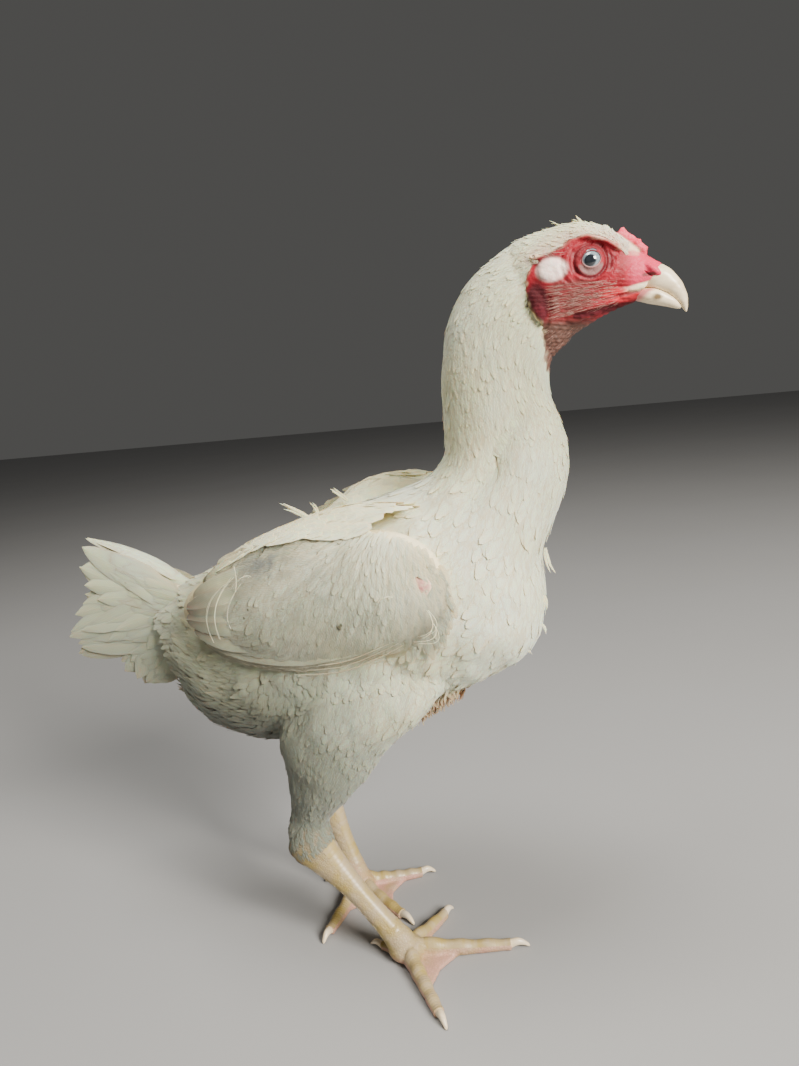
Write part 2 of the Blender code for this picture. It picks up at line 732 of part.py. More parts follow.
def make_foot(side, bird, shank, helpers):
    """Four toes, two webs and the ball of the foot as one body with flat soles on the floor."""
    foot_x, foot_y = LEGS[side]["foot"]
    foot = ellipsoid("foot_" + side, (foot_x, foot_y, 6.6), (11.5, 10.5, 8.0), bird, 14, 8)
    _, ankle, down, rear = shank_course(side)
    stub = [leg_ring(ankle + down * along, rear, deep, half) for along, deep, half in ANKLE_RINGS]
    pieces = [make_toe(side, toe, helpers) for toe in TOES]
    pieces += [make_web(side, toe, helpers) for toe in WEBS]
    pieces.append(loft("stub", stub, helpers))
    apply_boolean(foot, pieces, "UNION")
    floor = block("floor", (foot_x - 120, foot_y - 120, -40), (foot_x + 120, foot_y + 120, 0.0), helpers)
    apply_boolean(foot, [floor, grown_copy(shank, GAP, helpers)], "DIFFERENCE")
    return keep_largest(foot)


def make_claw(side, toe, bird):
    """A curved horn at the toe's tip, its point just above the floor."""
    _, tip, along = toe_course(side, toe)
    across = Vector((-along.y, along.x, 0.0))
    length = TOES[toe][0]
    tip_half = toe_half_thickness(toe, 1.0)
    rings = []
    for share in (0.0, 0.25, 0.5, 0.75, 1.0):
        half = tip_half * 0.72 * (1.0 - share) ** 0.8 + 0.35
        base = (tip_half - FLOOR_SINK) * (1.0 - share) ** 0.9 + half * 0.9 * share
        height = base + CLAW_ARCH * math.sin(math.pi * min(1.0, share * 1.15)) + 0.5
        centre = tip + along * (GAP + length * share) + Vector((0.0, 0.0, height))
        ring = []
        for s in range(6):
            angle = math.tau * s / 6
            upward = Vector((0.0, 0.0, half * math.cos(angle)))
            ring.append(centre + across * half * 0.8 * math.sin(angle) + upward)
        rings.append(ring)
    return loft("claw_" + toe + "_" + side, rings, bird)


def wing_rows(side, count, thin=1.0):
    """Sections of the folded wing from front to rear, its thickness taken in where asked."""
    made = []
    for x, top, bottom, half, out in smooth_rows(WING_SECTIONS, count):
        lift = WING_LIFT[side]
        made.append((x, top + lift, x, bottom + lift, half * thin, 0.9, 0.9, out))
    return made


def make_wing(side, bird, torso, helpers):
    """The folded wing: a core with quills and two tiers of coverts, shingled and rooted in it."""
    rows = wing_rows(side, 12, WING_CORE_THICKNESS)
    rings = [section_ring(row[:7], 14, SIDES[side] * row[7]) for row in rows]
    wing = loft("wing_" + side, rings, bird)
    table = np.array(rows)[::-1]
    outward = Vector((0.0, SIDES[side], 0.0))

    def place(root_x, edge_tip_x, middle_tip_x):
        def on_sheet(share, run):
            inside = min(1.0, max(0.0, share))
            tip_x = edge_tip_x + (middle_tip_x - edge_tip_x) * math.sin(math.pi * inside)
            x = root_x + (tip_x - root_x) * run
            top, bottom, half, out = (np.interp(x, table[:, 0], table[:, i]) for i in (1, 3, 4, 7))
            level = WING_SHEET_EDGE + (1.0 - 2.0 * WING_SHEET_EDGE) * share
            bulge = math.sqrt(max(WING_SHEET_LEAST, 1.0 - (2.0 * level - 1.0) ** 2))
            z = bottom + (top - bottom) * level
            return Vector((x, SIDES[side] * (out + half * bulge), z)), outward

        return on_sheet

    vanes = []
    for _, count, root_x, edge_tip_x, middle_tip_x, lift in WING_TIERS:
        sheet = place(root_x, edge_tip_x, middle_tip_x)
        vanes += feather_tier(sheet, *vane_middles(0.0, 1.0, count), lift, helpers)
    apply_boolean(wing, vanes, "UNION")
    apply_boolean(wing, [grown_copy(torso, GAP, helpers)], "DIFFERENCE")
    return keep_largest(wing)


def make_tail(bird, torso, helpers):
    """The tail: a stump with two leaning fans of quills and their coverts, rooted in it."""
    rows = smooth_rows(STUMP_SECTIONS, 7)
    tail = loft("tail", [section_ring(row, 12) for row in rows], bird)
    tips = np.array(TAIL_TIPS)
    knots = np.linspace(0.0, 1.0, len(tips))
    (low_x, low_z), (high_x, high_z) = TAIL_ROOTS
    vanes = []
    for side in SIDES.values():
        outward = Vector((0.0, side, 0.0))

        def place(first, last):
            def on_sheet(share, run):
                tip_x, tip_z = (np.interp(share, knots, tips[:, i]) for i in (0, 1))
                start_x, start_z = low_x + (high_x - low_x) * share, low_z + (high_z - low_z) * share
                along = first + (last - first) * run
                arch = TAIL_ARCH * math.sin(math.pi * along) * (2.0 * share - 1.0)
                x, z = start_x + (tip_x - start_x) * along, start_z + (tip_z - start_z) * along + arch
                splay = TAIL_RIDGE + TAIL_STUMP_HALF * (1.0 - along) + (1.0 - share) * TAIL_TENT * along
                return Vector((x, side * splay, z)), outward

            return on_sheet

        for _, count, lowest, highest, first, last, lift in TAIL_TIERS:
            middles, spacing = vane_middles(lowest, highest, count)
            vanes += feather_tier(place(first, last), middles, spacing, lift, helpers)
    apply_boolean(tail, vanes, "UNION")
    apply_boolean(tail, [grown_copy(torso, GAP, helpers)], "DIFFERENCE")
    return keep_largest(tail)


def stand_on_origin(nodes):
    """Moves every node so that the bounding box stands on the origin."""
    corners = np.array([v.co for node in nodes for v in node.data.vertices])
    low, high = corners.min(axis=0), corners.max(axis=0)
    shift = Vector((-(low[0] + high[0]) / 2, -(low[1] + high[1]) / 2, -low[2]))
    root = bpy.data.objects.new("shamo_hen_root", None)
    bpy.context.scene.collection.objects.link(root)
    root.location = shift
    for node in nodes:
        node.parent = root


def main():
    bird, helpers = start_empty_scene()
    finish = make_finishes()
    torso = finish_node(make_torso(bird), finish["white_plumage"])
    neck = finish_node(make_neck(bird), finish["white_plumage"])
    head = finish_node(make_head(bird, helpers), finish["red_skin"])
    upper, lower = make_beak(bird)
    nodes = [torso, neck, head, finish_node(upper, finish["horn"]), finish_node(lower, finish["horn"])]
    nodes.append(finish_node(make_comb(bird, head, helpers), finish["comb_red"]))
    nodes.append(finish_node(make_tail(bird, torso, helpers), finish["white_plumage"]))
    for side in SIDES:
        thigh = finish_node(make_thigh(side, bird, torso, helpers), finish["white_plumage"])
        shank = finish_node(make_shank(side, bird, thigh, helpers), finish["leg_scales"])
        nodes += [thigh, shank]
        nodes.append(finish_node(make_foot(side, bird, shank, helpers), finish["leg_scales"]))
        nodes += [finish_node(make_claw(side, toe, bird), finish["claw"]) for toe in TOES]
        nodes.append(finish_node(make_wing(side, bird, torso, helpers), finish["white_plumage"]))
        nodes.append(finish_node(make_ear_lobe(side, bird, head, helpers), finish["ear_lobe"]))
        nodes.append(finish_node(make_eye(side, bird), finish["eye"]))
    stand_on_origin(nodes)
    bpy.data.collections.remove(helpers)


main()
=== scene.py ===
"""Looks of a still, life-size model of a young white shamo hen.

The file is laid out as an add-on and run as a script. Points are worked out in millimetres in the
part's working frame, where the bird faces +X with its eyes above X = 0, and are written to the
meshes in metres in the row frame.
"""

import math
from functools import partial
from types import SimpleNamespace

import bmesh
import bpy
import numpy as np
from bpy.props import FloatProperty, FloatVectorProperty, IntProperty, PointerProperty
from mathutils import Matrix, Vector
from mathutils.bvhtree import BVHTree


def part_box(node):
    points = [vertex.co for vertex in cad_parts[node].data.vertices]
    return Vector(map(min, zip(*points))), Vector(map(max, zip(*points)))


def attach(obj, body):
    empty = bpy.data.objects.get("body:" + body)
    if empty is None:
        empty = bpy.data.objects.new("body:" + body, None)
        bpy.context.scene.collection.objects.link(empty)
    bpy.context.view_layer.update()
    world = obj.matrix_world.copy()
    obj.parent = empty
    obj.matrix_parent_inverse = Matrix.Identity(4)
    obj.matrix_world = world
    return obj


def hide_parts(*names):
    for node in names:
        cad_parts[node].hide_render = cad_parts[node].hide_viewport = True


bl_info = {
    "name": "Shamo hen looks",
    "version": (1, 0, 0),
    "blender": (4, 5, 0),
    "location": "View3D > Sidebar > Shamo hen",
    "description": "Skin, feathers, eyes, bill, scales and stage of a life-size model hen",
    "category": "Object",
}

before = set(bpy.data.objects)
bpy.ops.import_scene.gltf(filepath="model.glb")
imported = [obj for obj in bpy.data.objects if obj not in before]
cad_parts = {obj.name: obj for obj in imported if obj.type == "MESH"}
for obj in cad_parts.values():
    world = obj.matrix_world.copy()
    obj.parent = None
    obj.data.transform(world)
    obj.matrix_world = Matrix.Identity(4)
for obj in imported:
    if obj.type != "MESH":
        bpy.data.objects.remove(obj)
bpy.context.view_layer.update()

MM = 0.001
SIDES = {"R": -1.0, "L": 1.0}
EYE_CENTRE = (-2.0, 11.9, 411.5)
EYE_RADIUS = 8.0
LID_OPENING = (-1.4, 412.2, 4.9, 4.3)  # its centre (x, z) and half sizes as seen from the side


def find_shift():
    """How far the row frame lies from the working frame, in metres, told by the right eye."""
    low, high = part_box("eye_R")
    x, out, z = EYE_CENTRE
    return np.array((low + high) / 2) - np.array((x, -out, z)) * MM


SHIFT = find_shift()

# Trunk sections from the base of the bill to the rump: back edge (x, z), front or belly edge (x, z),
# half width, how square the back half and the belly half are, then the coat there: its depth, and the
# length, width and row step of its feathers.
TRUNK_KEYS = (
    (35, 407, 20, 389, 7.6, 0.9, 0.9, 0.4, 3.2, 1.5, 1.0),
    (30, 410.5, 19, 389, 8.8, 0.9, 0.9, 0.4, 3.4, 1.6, 1.0),
    (22, 416.5, 17, 388.5, 10.8, 0.9, 0.95, 0.5, 3.8, 1.7, 1.1),
    (13, 425, 12, 387, 13.8, 0.85, 1.0, 0.6, 4.6, 1.9, 1.2),
    (4, 431.5, 5, 384.5, 17.0, 0.8, 1.1, 0.7, 5.4, 2.2, 1.4),
    (-9, 434.5, -4, 380.5, 19.3, 0.82, 1.15, 0.8, 6.4, 2.5, 1.6),
    (-25, 433, -12, 376, 20.0, 0.9, 1.1, 0.8, 7.6, 2.8, 1.8),
    (-39, 430, -19, 370, 19.5, 0.95, 1.05, 0.9, 9.5, 3.2, 2.1),
    (-50, 425, -25, 363, 18.8, 1.0, 1.0, 0.9, 11.5, 3.7, 2.4),
    (-70, 411, -27.5, 354, 21.5, 1.0, 1.0, 1.0, 13.5, 4.3, 2.7),
    (-83.5, 389, -27.5, 342, 23.0, 1.0, 1.0, 1.0, 15.0, 4.9, 3.0),
    (-89.5, 362, -21.5, 326, 25.0, 1.0, 1.0, 1.1, 16.5, 5.5, 3.3),
    (-90.5, 338, -19, 310, 28.0, 1.0, 0.95, 1.2, 18.0, 6.2, 3.6),
    (-91, 318, -21.5, 291, 32.0, 1.0, 0.9, 1.3, 19.5, 7.2, 4.0),
    (-98, 307, -30, 270, 38.0, 0.95, 0.88, 1.4, 20.5, 8.4, 4.4),
    (-108, 300, -38, 247, 46.0, 0.85, 0.88, 1.5, 21.5, 9.8, 4.8),
    (-124, 295, -38, 222, 53.0, 0.75, 0.9, 1.6, 22.5, 11.0, 5.2),
    (-142, 290, -45, 197, 58.0, 0.72, 1.0, 1.7, 23.0, 11.5, 5.4),
    (-162, 286, -66, 180, 60.5, 0.72, 1.1, 1.7, 23.0, 11.5, 5.4),
    (-184, 280, -96, 165, 60.5, 0.75, 1.25, 1.7, 23.0, 11.0, 5.4),
    (-205, 272, -130, 145, 58.5, 0.8, 1.3, 1.8, 23.0, 10.5, 5.2),
    (-226, 263, -174, 138, 55.0, 0.85, 1.1, 2.0, 23.5, 10.5, 5.2),
    (-246, 255, -213, 134, 50.0, 0.9, 0.95, 2.1, 24.0, 10.5, 5.0),
    (-260, 250, -247, 140, 43.5, 0.95, 0.9, 2.2, 25.0, 10.0, 4.8),
    (-270, 246, -271, 155, 35.0, 1.0, 0.95, 2.2, 25.0, 9.5, 4.4),
    (-277, 242, -281, 181, 25.0, 1.0, 1.0, 2.0, 23.0, 8.5, 4.0),
    (-281, 237, -282, 207, 13.0, 1.0, 1.0, 1.8, 20.0, 7.5, 3.6),
)
# Keys of the trunk where one region of the coat ends and the next begins.
FIRST_NECK_KEY = 8
FIRST_BREAST_KEY = 13
FIRST_BELLY_KEY = 17.5
FIRST_RUMP_KEY = 21.5
LAST_RUMP_KEY = 24.3

# Thigh sections of the right leg: front edge (x, z), rear edge (x, z), half width, distance out.
LEG_OUT = 33.0
THIGH_KEYS = (
    (-95, 205, -190, 190, 24.0, 27.0),
    (-100, 176, -201, 162, 26.0, 37.0),
    (-122, 156, -203, 146, 24.0, 39.5),
    (-140, 137, -202, 131, 20.5, 38.0),
    (-156, 117, -203, 113, 16.0, 36.0),
    (-171, 101, -206, 97, 12.0, 34.0),
    (-178, 93, -209, 87, 10.0, 33.0),
    (-181, 86, -211, 78, 9.6, 33.0),
)
SHANK_KEYS = (
    # share of the way from hock to ankle, bow to the rear, half depth, half width
    (-0.10, -7.0, 14.0, 9.3),
    (0.00, 2.5, 17.5, 10.4),
    (0.11, 5.5, 15.8, 10.2),
    (0.24, 5.2, 12.0, 8.8),
    (0.43, 3.2, 8.6, 7.2),
    (0.63, 2.0, 7.0, 6.3),
    (0.83, 0.9, 6.9, 6.3),
    (1.00, 0.0, 8.0, 7.4),
)
LEGS = {
    # hock (x, z), foot centre (x, y), and each toe's heading in degrees and length with its claw
    "R": {
        "hock": (-194.0, 84.0),
        "foot": (-137.0, -38.0),
        "toes": {
            "inner": (67.0, 56.5), "middle": (14.0, 82.0),
            "outer": (-56.5, 67.5), "hind": (162.0, 31.0),
        },
    },
    "L": {
        "hock": (-208.5, 92.0),
        "foot": (-187.0, 25.0),
        "toes": {
            "inner": (-98.5, 62.0), "middle": (-35.0, 62.0),
            "outer": (27.0, 60.0), "hind": (168.0, 33.0),
        },
    },
}
TOES = {
    # claw length, number of joint pads, how far behind the foot's centre it starts
    "inner": (13.0, 3, 1.0),
    "middle": (15.5, 4, 1.6),
    "outer": (13.5, 5, 2.3),
    "hind": (12.0, 2, 3.1),
}
WEBS = {"inner": (27.0, 0.72), "outer": (36.0, 0.70)}
ANKLE_HEIGHT = 17.0
TOE_THICKNESS = 10.8
TOE_TAPER = 0.36
HIND_TOE_SHARE = 0.78
FLOOR_SINK = 0.6
TOE_ROOT_LIFT = 7.0

WING_KEYS = (
    # x, top z, bottom z, half thickness, distance of the middle from the midline
    (-87, 260, 240, 4.0, 58.0),
    (-91, 269, 230, 9.0, 57.0),
    (-102, 278, 221, 14.0, 56.0),
    (-118, 283, 211, 17.0, 54.5),
    (-142, 283, 205, 18.0, 53.0),
    (-168, 282, 202, 18.0, 52.5),
    (-192, 277, 203, 17.0, 52.0),
    (-216, 267, 208, 14.0, 50.5),
    (-235, 257, 215, 11.0, 48.5),
    (-246, 249, 222, 8.0, 47.0),
    (-251, 242, 229, 4.0, 46.5),
)
WING_LIFT = {"R": 0.0, "L": 11.5}
WING_HUMP = (-116.0, 284.0)
BARE_SPOT = (-97.0, -70.0, 252.2)

STUMP_KEYS = (
    (-270, 245, -276, 190, 19.0, 1.0, 1.0),
    (-284, 250, -286, 191, 19.0, 1.0, 1.0),
    (-297, 254, -297, 193, 16.0, 1.0, 1.0),
    (-310, 252, -308, 199, 11.0, 1.0, 1.0),
    (-318, 243, -315, 210, 5.0, 1.0, 1.0),
)
TAIL_ROOTS = ((-275.0, 214.0), (-281.0, 243.0))
TAIL_TIPS = (
    (-294.0, 181.0),
    (-309.0, 177.0),
    (-324.0, 185.0),
    (-344.0, 191.0),
    (-363.0, 199.0),
    (-364.0, 214.0),
    (-356.0, 232.0),
    (-351.0, 248.0),
    (-352.0, 264.0),
    (-346.0, 277.0),
)
TAIL_RIDGE = 2.6
TAIL_STUMP_HALF = 11.0
TAIL_TENT = 13.0
TAIL_ARCH = 4.0

# The bare face as seen from the side, in order round its edge.
FACE_EDGE = (
    (26.5, 416), (22.5, 413.4), (19.5, 412), (13.4, 416), (3.5, 422.3), (-4, 424), (-10.6, 423.6),
    (-17.4, 420.5), (-23.5, 417.8), (-29.5, 416), (-33.6, 411), (-35.4, 405.7), (-36.1, 398.5),
    (-34.9, 392.2), (-31.6, 387.6), (-29, 383.5), (-28.2, 377), (-28.8, 369), (-28.5, 360),
    (-27.4, 350), (-20, 346), (0, 360), (22, 380), (60, 380), (60, 416),
)
UPPER_BILL_KEYS = (
    (31.5, 407.4, 20.0, 396.8, 5.6, 0.8, 0.8),
    (34.2, 407.0, 24.0, 395.8, 6.9, 0.8, 0.8),
    (36, 406.2, 26.0, 395.4, 7.3, 0.8, 0.8),
    (40.2, 402.6, 31.2, 394.1, 6.6, 0.85, 0.7),
    (44.4, 396.6, 37.0, 391.0, 5.2, 0.9, 0.7),
    (46.9, 389.8, 41.8, 387.0, 3.5, 0.9, 0.8),
    (47.2, 384.4, 44.4, 383.0, 1.9, 1.0, 0.9),
    (46.4, 381.3, 45.8, 381.0, 0.6, 1.0, 1.0),
)
LOWER_BILL_KEYS = (
    (20.5, 395.4, 17.0, 391.2, 5.2, 0.6, 0.9),
    (26.4, 395.6, 22.4, 389.0, 6.6, 0.6, 0.9),
    (31.4, 394.6, 28, 387.2, 6.1, 0.5, 0.9),
    (37.2, 391.6, 34.8, 385.2, 4.7, 0.5, 0.9),
    (41.6, 387.6, 40.2, 383.5, 3.0, 0.6, 0.9),
    (44.0, 384.6, 43.0, 382.9, 1.2, 0.8, 1.0),
)


# Numbers and arrays


def to_row(points):
    """Millimetres in the working frame to metres in the row frame."""
    return np.asarray(points, float) * MM + SHIFT


def to_working(places):
    """Metres in the row frame to millimetres in the working frame."""
    return (np.asarray(places, float) - SHIFT) / MM


def circle(count):
    return np.linspace(0.0, math.tau, count, endpoint=False)


def grid_of(first, last):
    return np.meshgrid(first, last, indexing="ij")


def tube_grid(first, last, rings, sides):
    """Shares of the way along a tube, and the angles round it."""
    return grid_of(np.linspace(first, last, rings), circle(sides))


def ramp(value, low, high):
    """A smooth step from 0 at low to 1 at high."""
    t = np.clip((np.asarray(value, float) - low) / (high - low), 0.0, 1.0)
    return t * t * (3.0 - 2.0 * t)


def unit(vectors):
    return vectors / np.maximum(np.linalg.norm(vectors, axis=-1, keepdims=True), 1e-9)


def smooth_rows(keys, count):
    """Rows of numbers spaced evenly along a smooth curve through the key rows."""
    rows = np.array(keys, float)
    slopes = np.gradient(rows, axis=0)
    places = np.linspace(0, len(rows) - 1, count)
    first = np.minimum(places.astype(int), len(rows) - 2)
    t = (places - first)[:, None]
    return (
        rows[first] * (2 * t**3 - 3 * t**2 + 1)
        + slopes[first] * (t**3 - 2 * t**2 + t)
        + rows[first + 1] * (3 * t**2 - 2 * t**3)
        + slopes[first + 1] * (t**3 - t**2)
    )


def key_run(key):
    """How far along the trunk one of its key sections lies."""
    return float(np.interp(key / (len(TRUNK_KEYS) - 1), np.linspace(0, 1, len(TRUNK["run"])), TRUNK["run"]))


def make_shell(keys, count=420):
    """A lofted surface: its rows, and how far along its middle line each row lies.

    A key gives back edge (x, z), front edge (x, z), half width and how square both halves are. An
    eighth number is the distance of a limb's middle from the midline.
    """
    rows = smooth_rows(keys, count)
    middle = (rows[:, 0:2] + rows[:, 2:4]) / 2
    steps = np.linalg.norm(np.diff(middle, axis=0), axis=1)
    run = np.concatenate(([0.0], np.cumsum(steps)))
    outs = rows[:, 7] if rows.shape[1] == 8 else None
    return {"run": run, "rows": rows, "outs": outs, "length": run[-1]}


def shell_columns(shell, along, columns):
    return [np.interp(along, shell["run"], shell["rows"][:, i]) for i in columns]


def shell_points(shell, along, angle, inset):
    """Points of the surface at a distance along it and an angle round it, sunk by the inset."""
    back_x, back_z, front_x, front_z, half, back_sq, front_sq = shell_columns(shell, along, range(7))
    length = np.hypot(back_x - front_x, back_z - front_z) / 2
    lean_x, lean_z = (back_x - front_x) / 2 / length, (back_z - front_z) / 2 / length
    forth, across = np.cos(angle), np.sin(angle)
    square = np.where(forth > 0, back_sq, front_sq)
    reach = np.maximum(length - inset, 0.4) * forth
    wide = np.maximum(half - inset, 0.3) * np.sign(across) * np.abs(across) ** square
    y = 0.0 if shell["outs"] is None else np.interp(along, shell["run"], shell["outs"])
    return np.stack(
        ((back_x + front_x) / 2 + lean_x * reach, y + wide, (back_z + front_z) / 2 + lean_z * reach), -1
    )


def shell_rings(shell, count, sides, inset=0.0, first=0.0, last=None):
    """Rings of points for a closed loft along the shell; the inset is a number or a row of them."""
    last = shell["length"] if last is None else last
    along = np.linspace(first, last, count)[:, None]
    angle = circle(sides)[None, :]
    inset = np.broadcast_to(np.asarray(inset, float), (count,))[:, None]
    shape = (count, sides)
    return shell_points(shell, *(np.broadcast_to(v, shape) for v in (along, angle, inset)))


def distance_inside(points_xz, edge):
    """Signed distance from the edge of a flat outline, above zero inside it."""
    corners = np.array(edge, float)
    ends = np.roll(corners, -1, axis=0)
    best = np.full(len(points_xz), 1e9)
    inside = np.zeros(len(points_xz), bool)
    x, z = points_xz[:, 0], points_xz[:, 1]
    for (ax, az), (bx, bz) in zip(corners, ends):
        dx, dz = bx - ax, bz - az
        t = np.clip(((x - ax) * dx + (z - az) * dz) / (dx * dx + dz * dz), 0.0, 1.0)
        best = np.minimum(best, np.hypot(x - ax - t * dx, z - az - t * dz))
        crosses = (az > z) != (bz > z)
        with np.errstate(divide="ignore", invalid="ignore"):
            at = ax + (z - az) * dx / dz if dz else np.full(len(x), 1e9)
        inside ^= crosses & (x < at)
    return np.where(inside, best, -best)


def distance_to_line(points_xz, line):
    """Distance from a line of points, and the share of the way along it."""
    corners = np.array(line, float)
    best = np.full(len(points_xz), 1e9)
    share = np.zeros(len(points_xz))
    x, z = points_xz[:, 0], points_xz[:, 1]
    for i in range(len(corners) - 1):
        (ax, az), (bx, bz) = corners[i], corners[i + 1]
        dx, dz = bx - ax, bz - az
        t = np.clip(((x - ax) * dx + (z - az) * dz) / (dx * dx + dz * dz), 0.0, 1.0)
        found = np.hypot(x - ax - t * dx, z - az - t * dz)
        nearer = found < best
        best = np.where(nearer, found, best)
        share = np.where(nearer, (i + t) / (len(corners) - 1), share)
    return best, share


def gentle_noise(points, size, seed):
    """A smooth random field between about -1 and 1, whose lumps are about size across."""
    rng = np.random.default_rng(seed)
    total = np.zeros(len(points))
    for _ in range(9):
        way = unit(rng.normal(size=3)) * rng.uniform(0.7, 1.5)
        total += np.sin(points @ way * math.tau / size / 1.6 + rng.uniform(0, math.tau))
    return total / 4.0


# Meshes


def make_mesh(name, points, face_groups):
    """A mesh object from points in millimetres and arrays of faces of one corner count each."""
    mesh = bpy.data.meshes.new(name)
    places = to_row(points)
    corners = np.concatenate([np.asarray(g).ravel() for g in face_groups]).astype(np.int32)
    sizes = np.concatenate([np.full(len(g), np.asarray(g).shape[1]) for g in face_groups])
    starts = np.concatenate(([0], np.cumsum(sizes)[:-1])).astype(np.int32)
    mesh.vertices.add(len(places))
    mesh.vertices.foreach_set("co", places.astype(np.float32).ravel())
    mesh.loops.add(len(corners))
    mesh.loops.foreach_set("vertex_index", corners)
    mesh.polygons.add(len(starts))
    mesh.polygons.foreach_set("loop_start", starts)
    mesh.update(calc_edges=True)
    made = bpy.data.objects.new(name, mesh)
    bpy.context.scene.collection.objects.link(made)
    return made


def loft_faces(rings, sides, first=0):
    """Quads between rings and a fan's triangles at each end; the two middle points come last."""
    r, s = np.meshgrid(np.arange(rings - 1), np.arange(sides), indexing="ij")
    near, far = first + r * sides, first + (r + 1) * sides
    after = (s + 1) % sides
    quads = np.stack((near + s, near + after, far + after, far + s), -1).reshape(-1, 4)
    turn = np.arange(sides)
    centre = first + rings * sides
    low = np.stack((first + (turn + 1) % sides, first + turn, np.full(sides, centre)), -1)
    last = first + (rings - 1) * sides
    high = np.stack((last + turn, last + (turn + 1) % sides, np.full(sides, centre + 1)), -1)
    return quads, np.concatenate((low, high))


def loft(name, rings):
    """A closed body through rings of points."""
    rings = np.asarray(rings, float)
    count, sides = rings.shape[:2]
    points = np.concatenate((rings.reshape(-1, 3), [rings[0].mean(axis=0), rings[-1].mean(axis=0)]))
    made = make_mesh(name, points, loft_faces(count, sides))
    return face_outwards(made)


def face_outwards(made):
    """Points all faces of a closed mesh out."""
    shape = bmesh.new()
    shape.from_mesh(made.data)
    bmesh.ops.recalc_face_normals(shape, faces=shape.faces)
    if shape.calc_volume(signed=True) < 0:
        bmesh.ops.reverse_faces(shape, faces=shape.faces)
    shape.to_mesh(made.data)
    shape.free()
    return made


def select_only(*objects):
    bpy.ops.object.select_all(action="DESELECT")
    for made in objects:
        made.select_set(True)
    bpy.context.view_layer.objects.active = objects[0]


def ellipsoid(name, centre, radii, turn=0.0, segments=32, rings=18):
    """An ellipsoid from a UV sphere, in millimetres, turned about Y by degrees."""
    bpy.ops.object.select_all(action="DESELECT")
    bpy.ops.mesh.primitive_uv_sphere_add(segments=segments, ring_count=rings, radius=1.0)
    made = bpy.context.active_object
    made.name = name
    spot = Vector(centre) * MM + Vector(SHIFT)
    place = Matrix.Translation(spot) @ Matrix.Rotation(math.radians(turn), 4, "Y")
    made.data.transform(place @ Matrix.Diagonal((*(r * MM for r in radii), 1.0)))
    return made


def join(name, parts):
    select_only(*parts)
    bpy.ops.object.join()
    made = bpy.context.active_object
    made.name = name
    made.data.name = name
    return made


def apply_all(made):
    select_only(made)
    for modifier in list(made.modifiers):
        bpy.ops.object.modifier_apply(modifier=modifier.name)
    return made


def remesh(made, size, smoothing):
    """One closed skin over overlapping bodies, evened out."""
    voxels = made.modifiers.new("fuse", "REMESH")
    voxels.mode = "VOXEL"
    voxels.voxel_size = size * MM
    even = made.modifiers.new("even", "SMOOTH")
    even.factor = 0.5
    even.iterations = smoothing
    return apply_all(made)


def combine(made, other, operation):
    """A Boolean with one other body, which is then removed."""
    boolean = made.modifiers.new(operation.lower(), "BOOLEAN")
    boolean.operation = operation
    boolean.object = other
    boolean.solver = "MANIFOLD"
    apply_all(made)
    bpy.data.objects.remove(other)
    return made


def read_array(items, name, width=3):
    """One value or vector for each item of a mesh, as rows."""
    flat = np.empty(len(items) * width, np.int32 if width == 1 else np.float32)
    items.foreach_get(name, flat)
    return flat if width == 1 else flat.reshape(-1, width).astype(float)


def read_points(made):
    """The mesh's points in millimetres in the working frame."""
    return to_working(read_array(made.data.vertices, "co"))


def read_normals(made):
    return read_array(made.data.vertices, "normal")


def write_points(made, points):
    made.data.vertices.foreach_set("co", to_row(points).astype(np.float32).ravel())
    made.data.update()


def keep_value(made, name, values):
    """Stores one number at each point of the mesh, for its material to read."""
    layer = made.data.attributes.new(name, "FLOAT", "POINT")
    layer.data.foreach_set("value", np.asarray(values, np.float32))


def keep_map(made, name, values):
    """Stores a UV map from its coordinates at each point of the mesh."""
    corners = read_array(made.data.loops, "vertex_index", 1)
    layer = made.data.uv_layers.new(name=name)
    layer.data.foreach_set("uv", values.reshape(-1, 2)[corners].astype(np.float32).ravel())


def finish_piece(made, material, replaced=(), angle=None):
    """Gives a piece its material, shading and body, and drops the nodes it replaces."""
    if material is not None:
        made.data.materials.clear()
        made.data.materials.append(material)
    made.data.polygons.foreach_set("use_smooth", np.ones(len(made.data.polygons), bool))
    if angle:
        select_only(made)
        bpy.ops.object.shade_smooth_by_angle(angle=math.radians(angle))
    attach(made, "root")
    if replaced:
        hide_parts(*replaced)
    return made


# Materials


def rgba(colour):
    return colour if isinstance(colour, bpy.types.NodeSocket) else (*tuple(colour)[:3], 1.0)


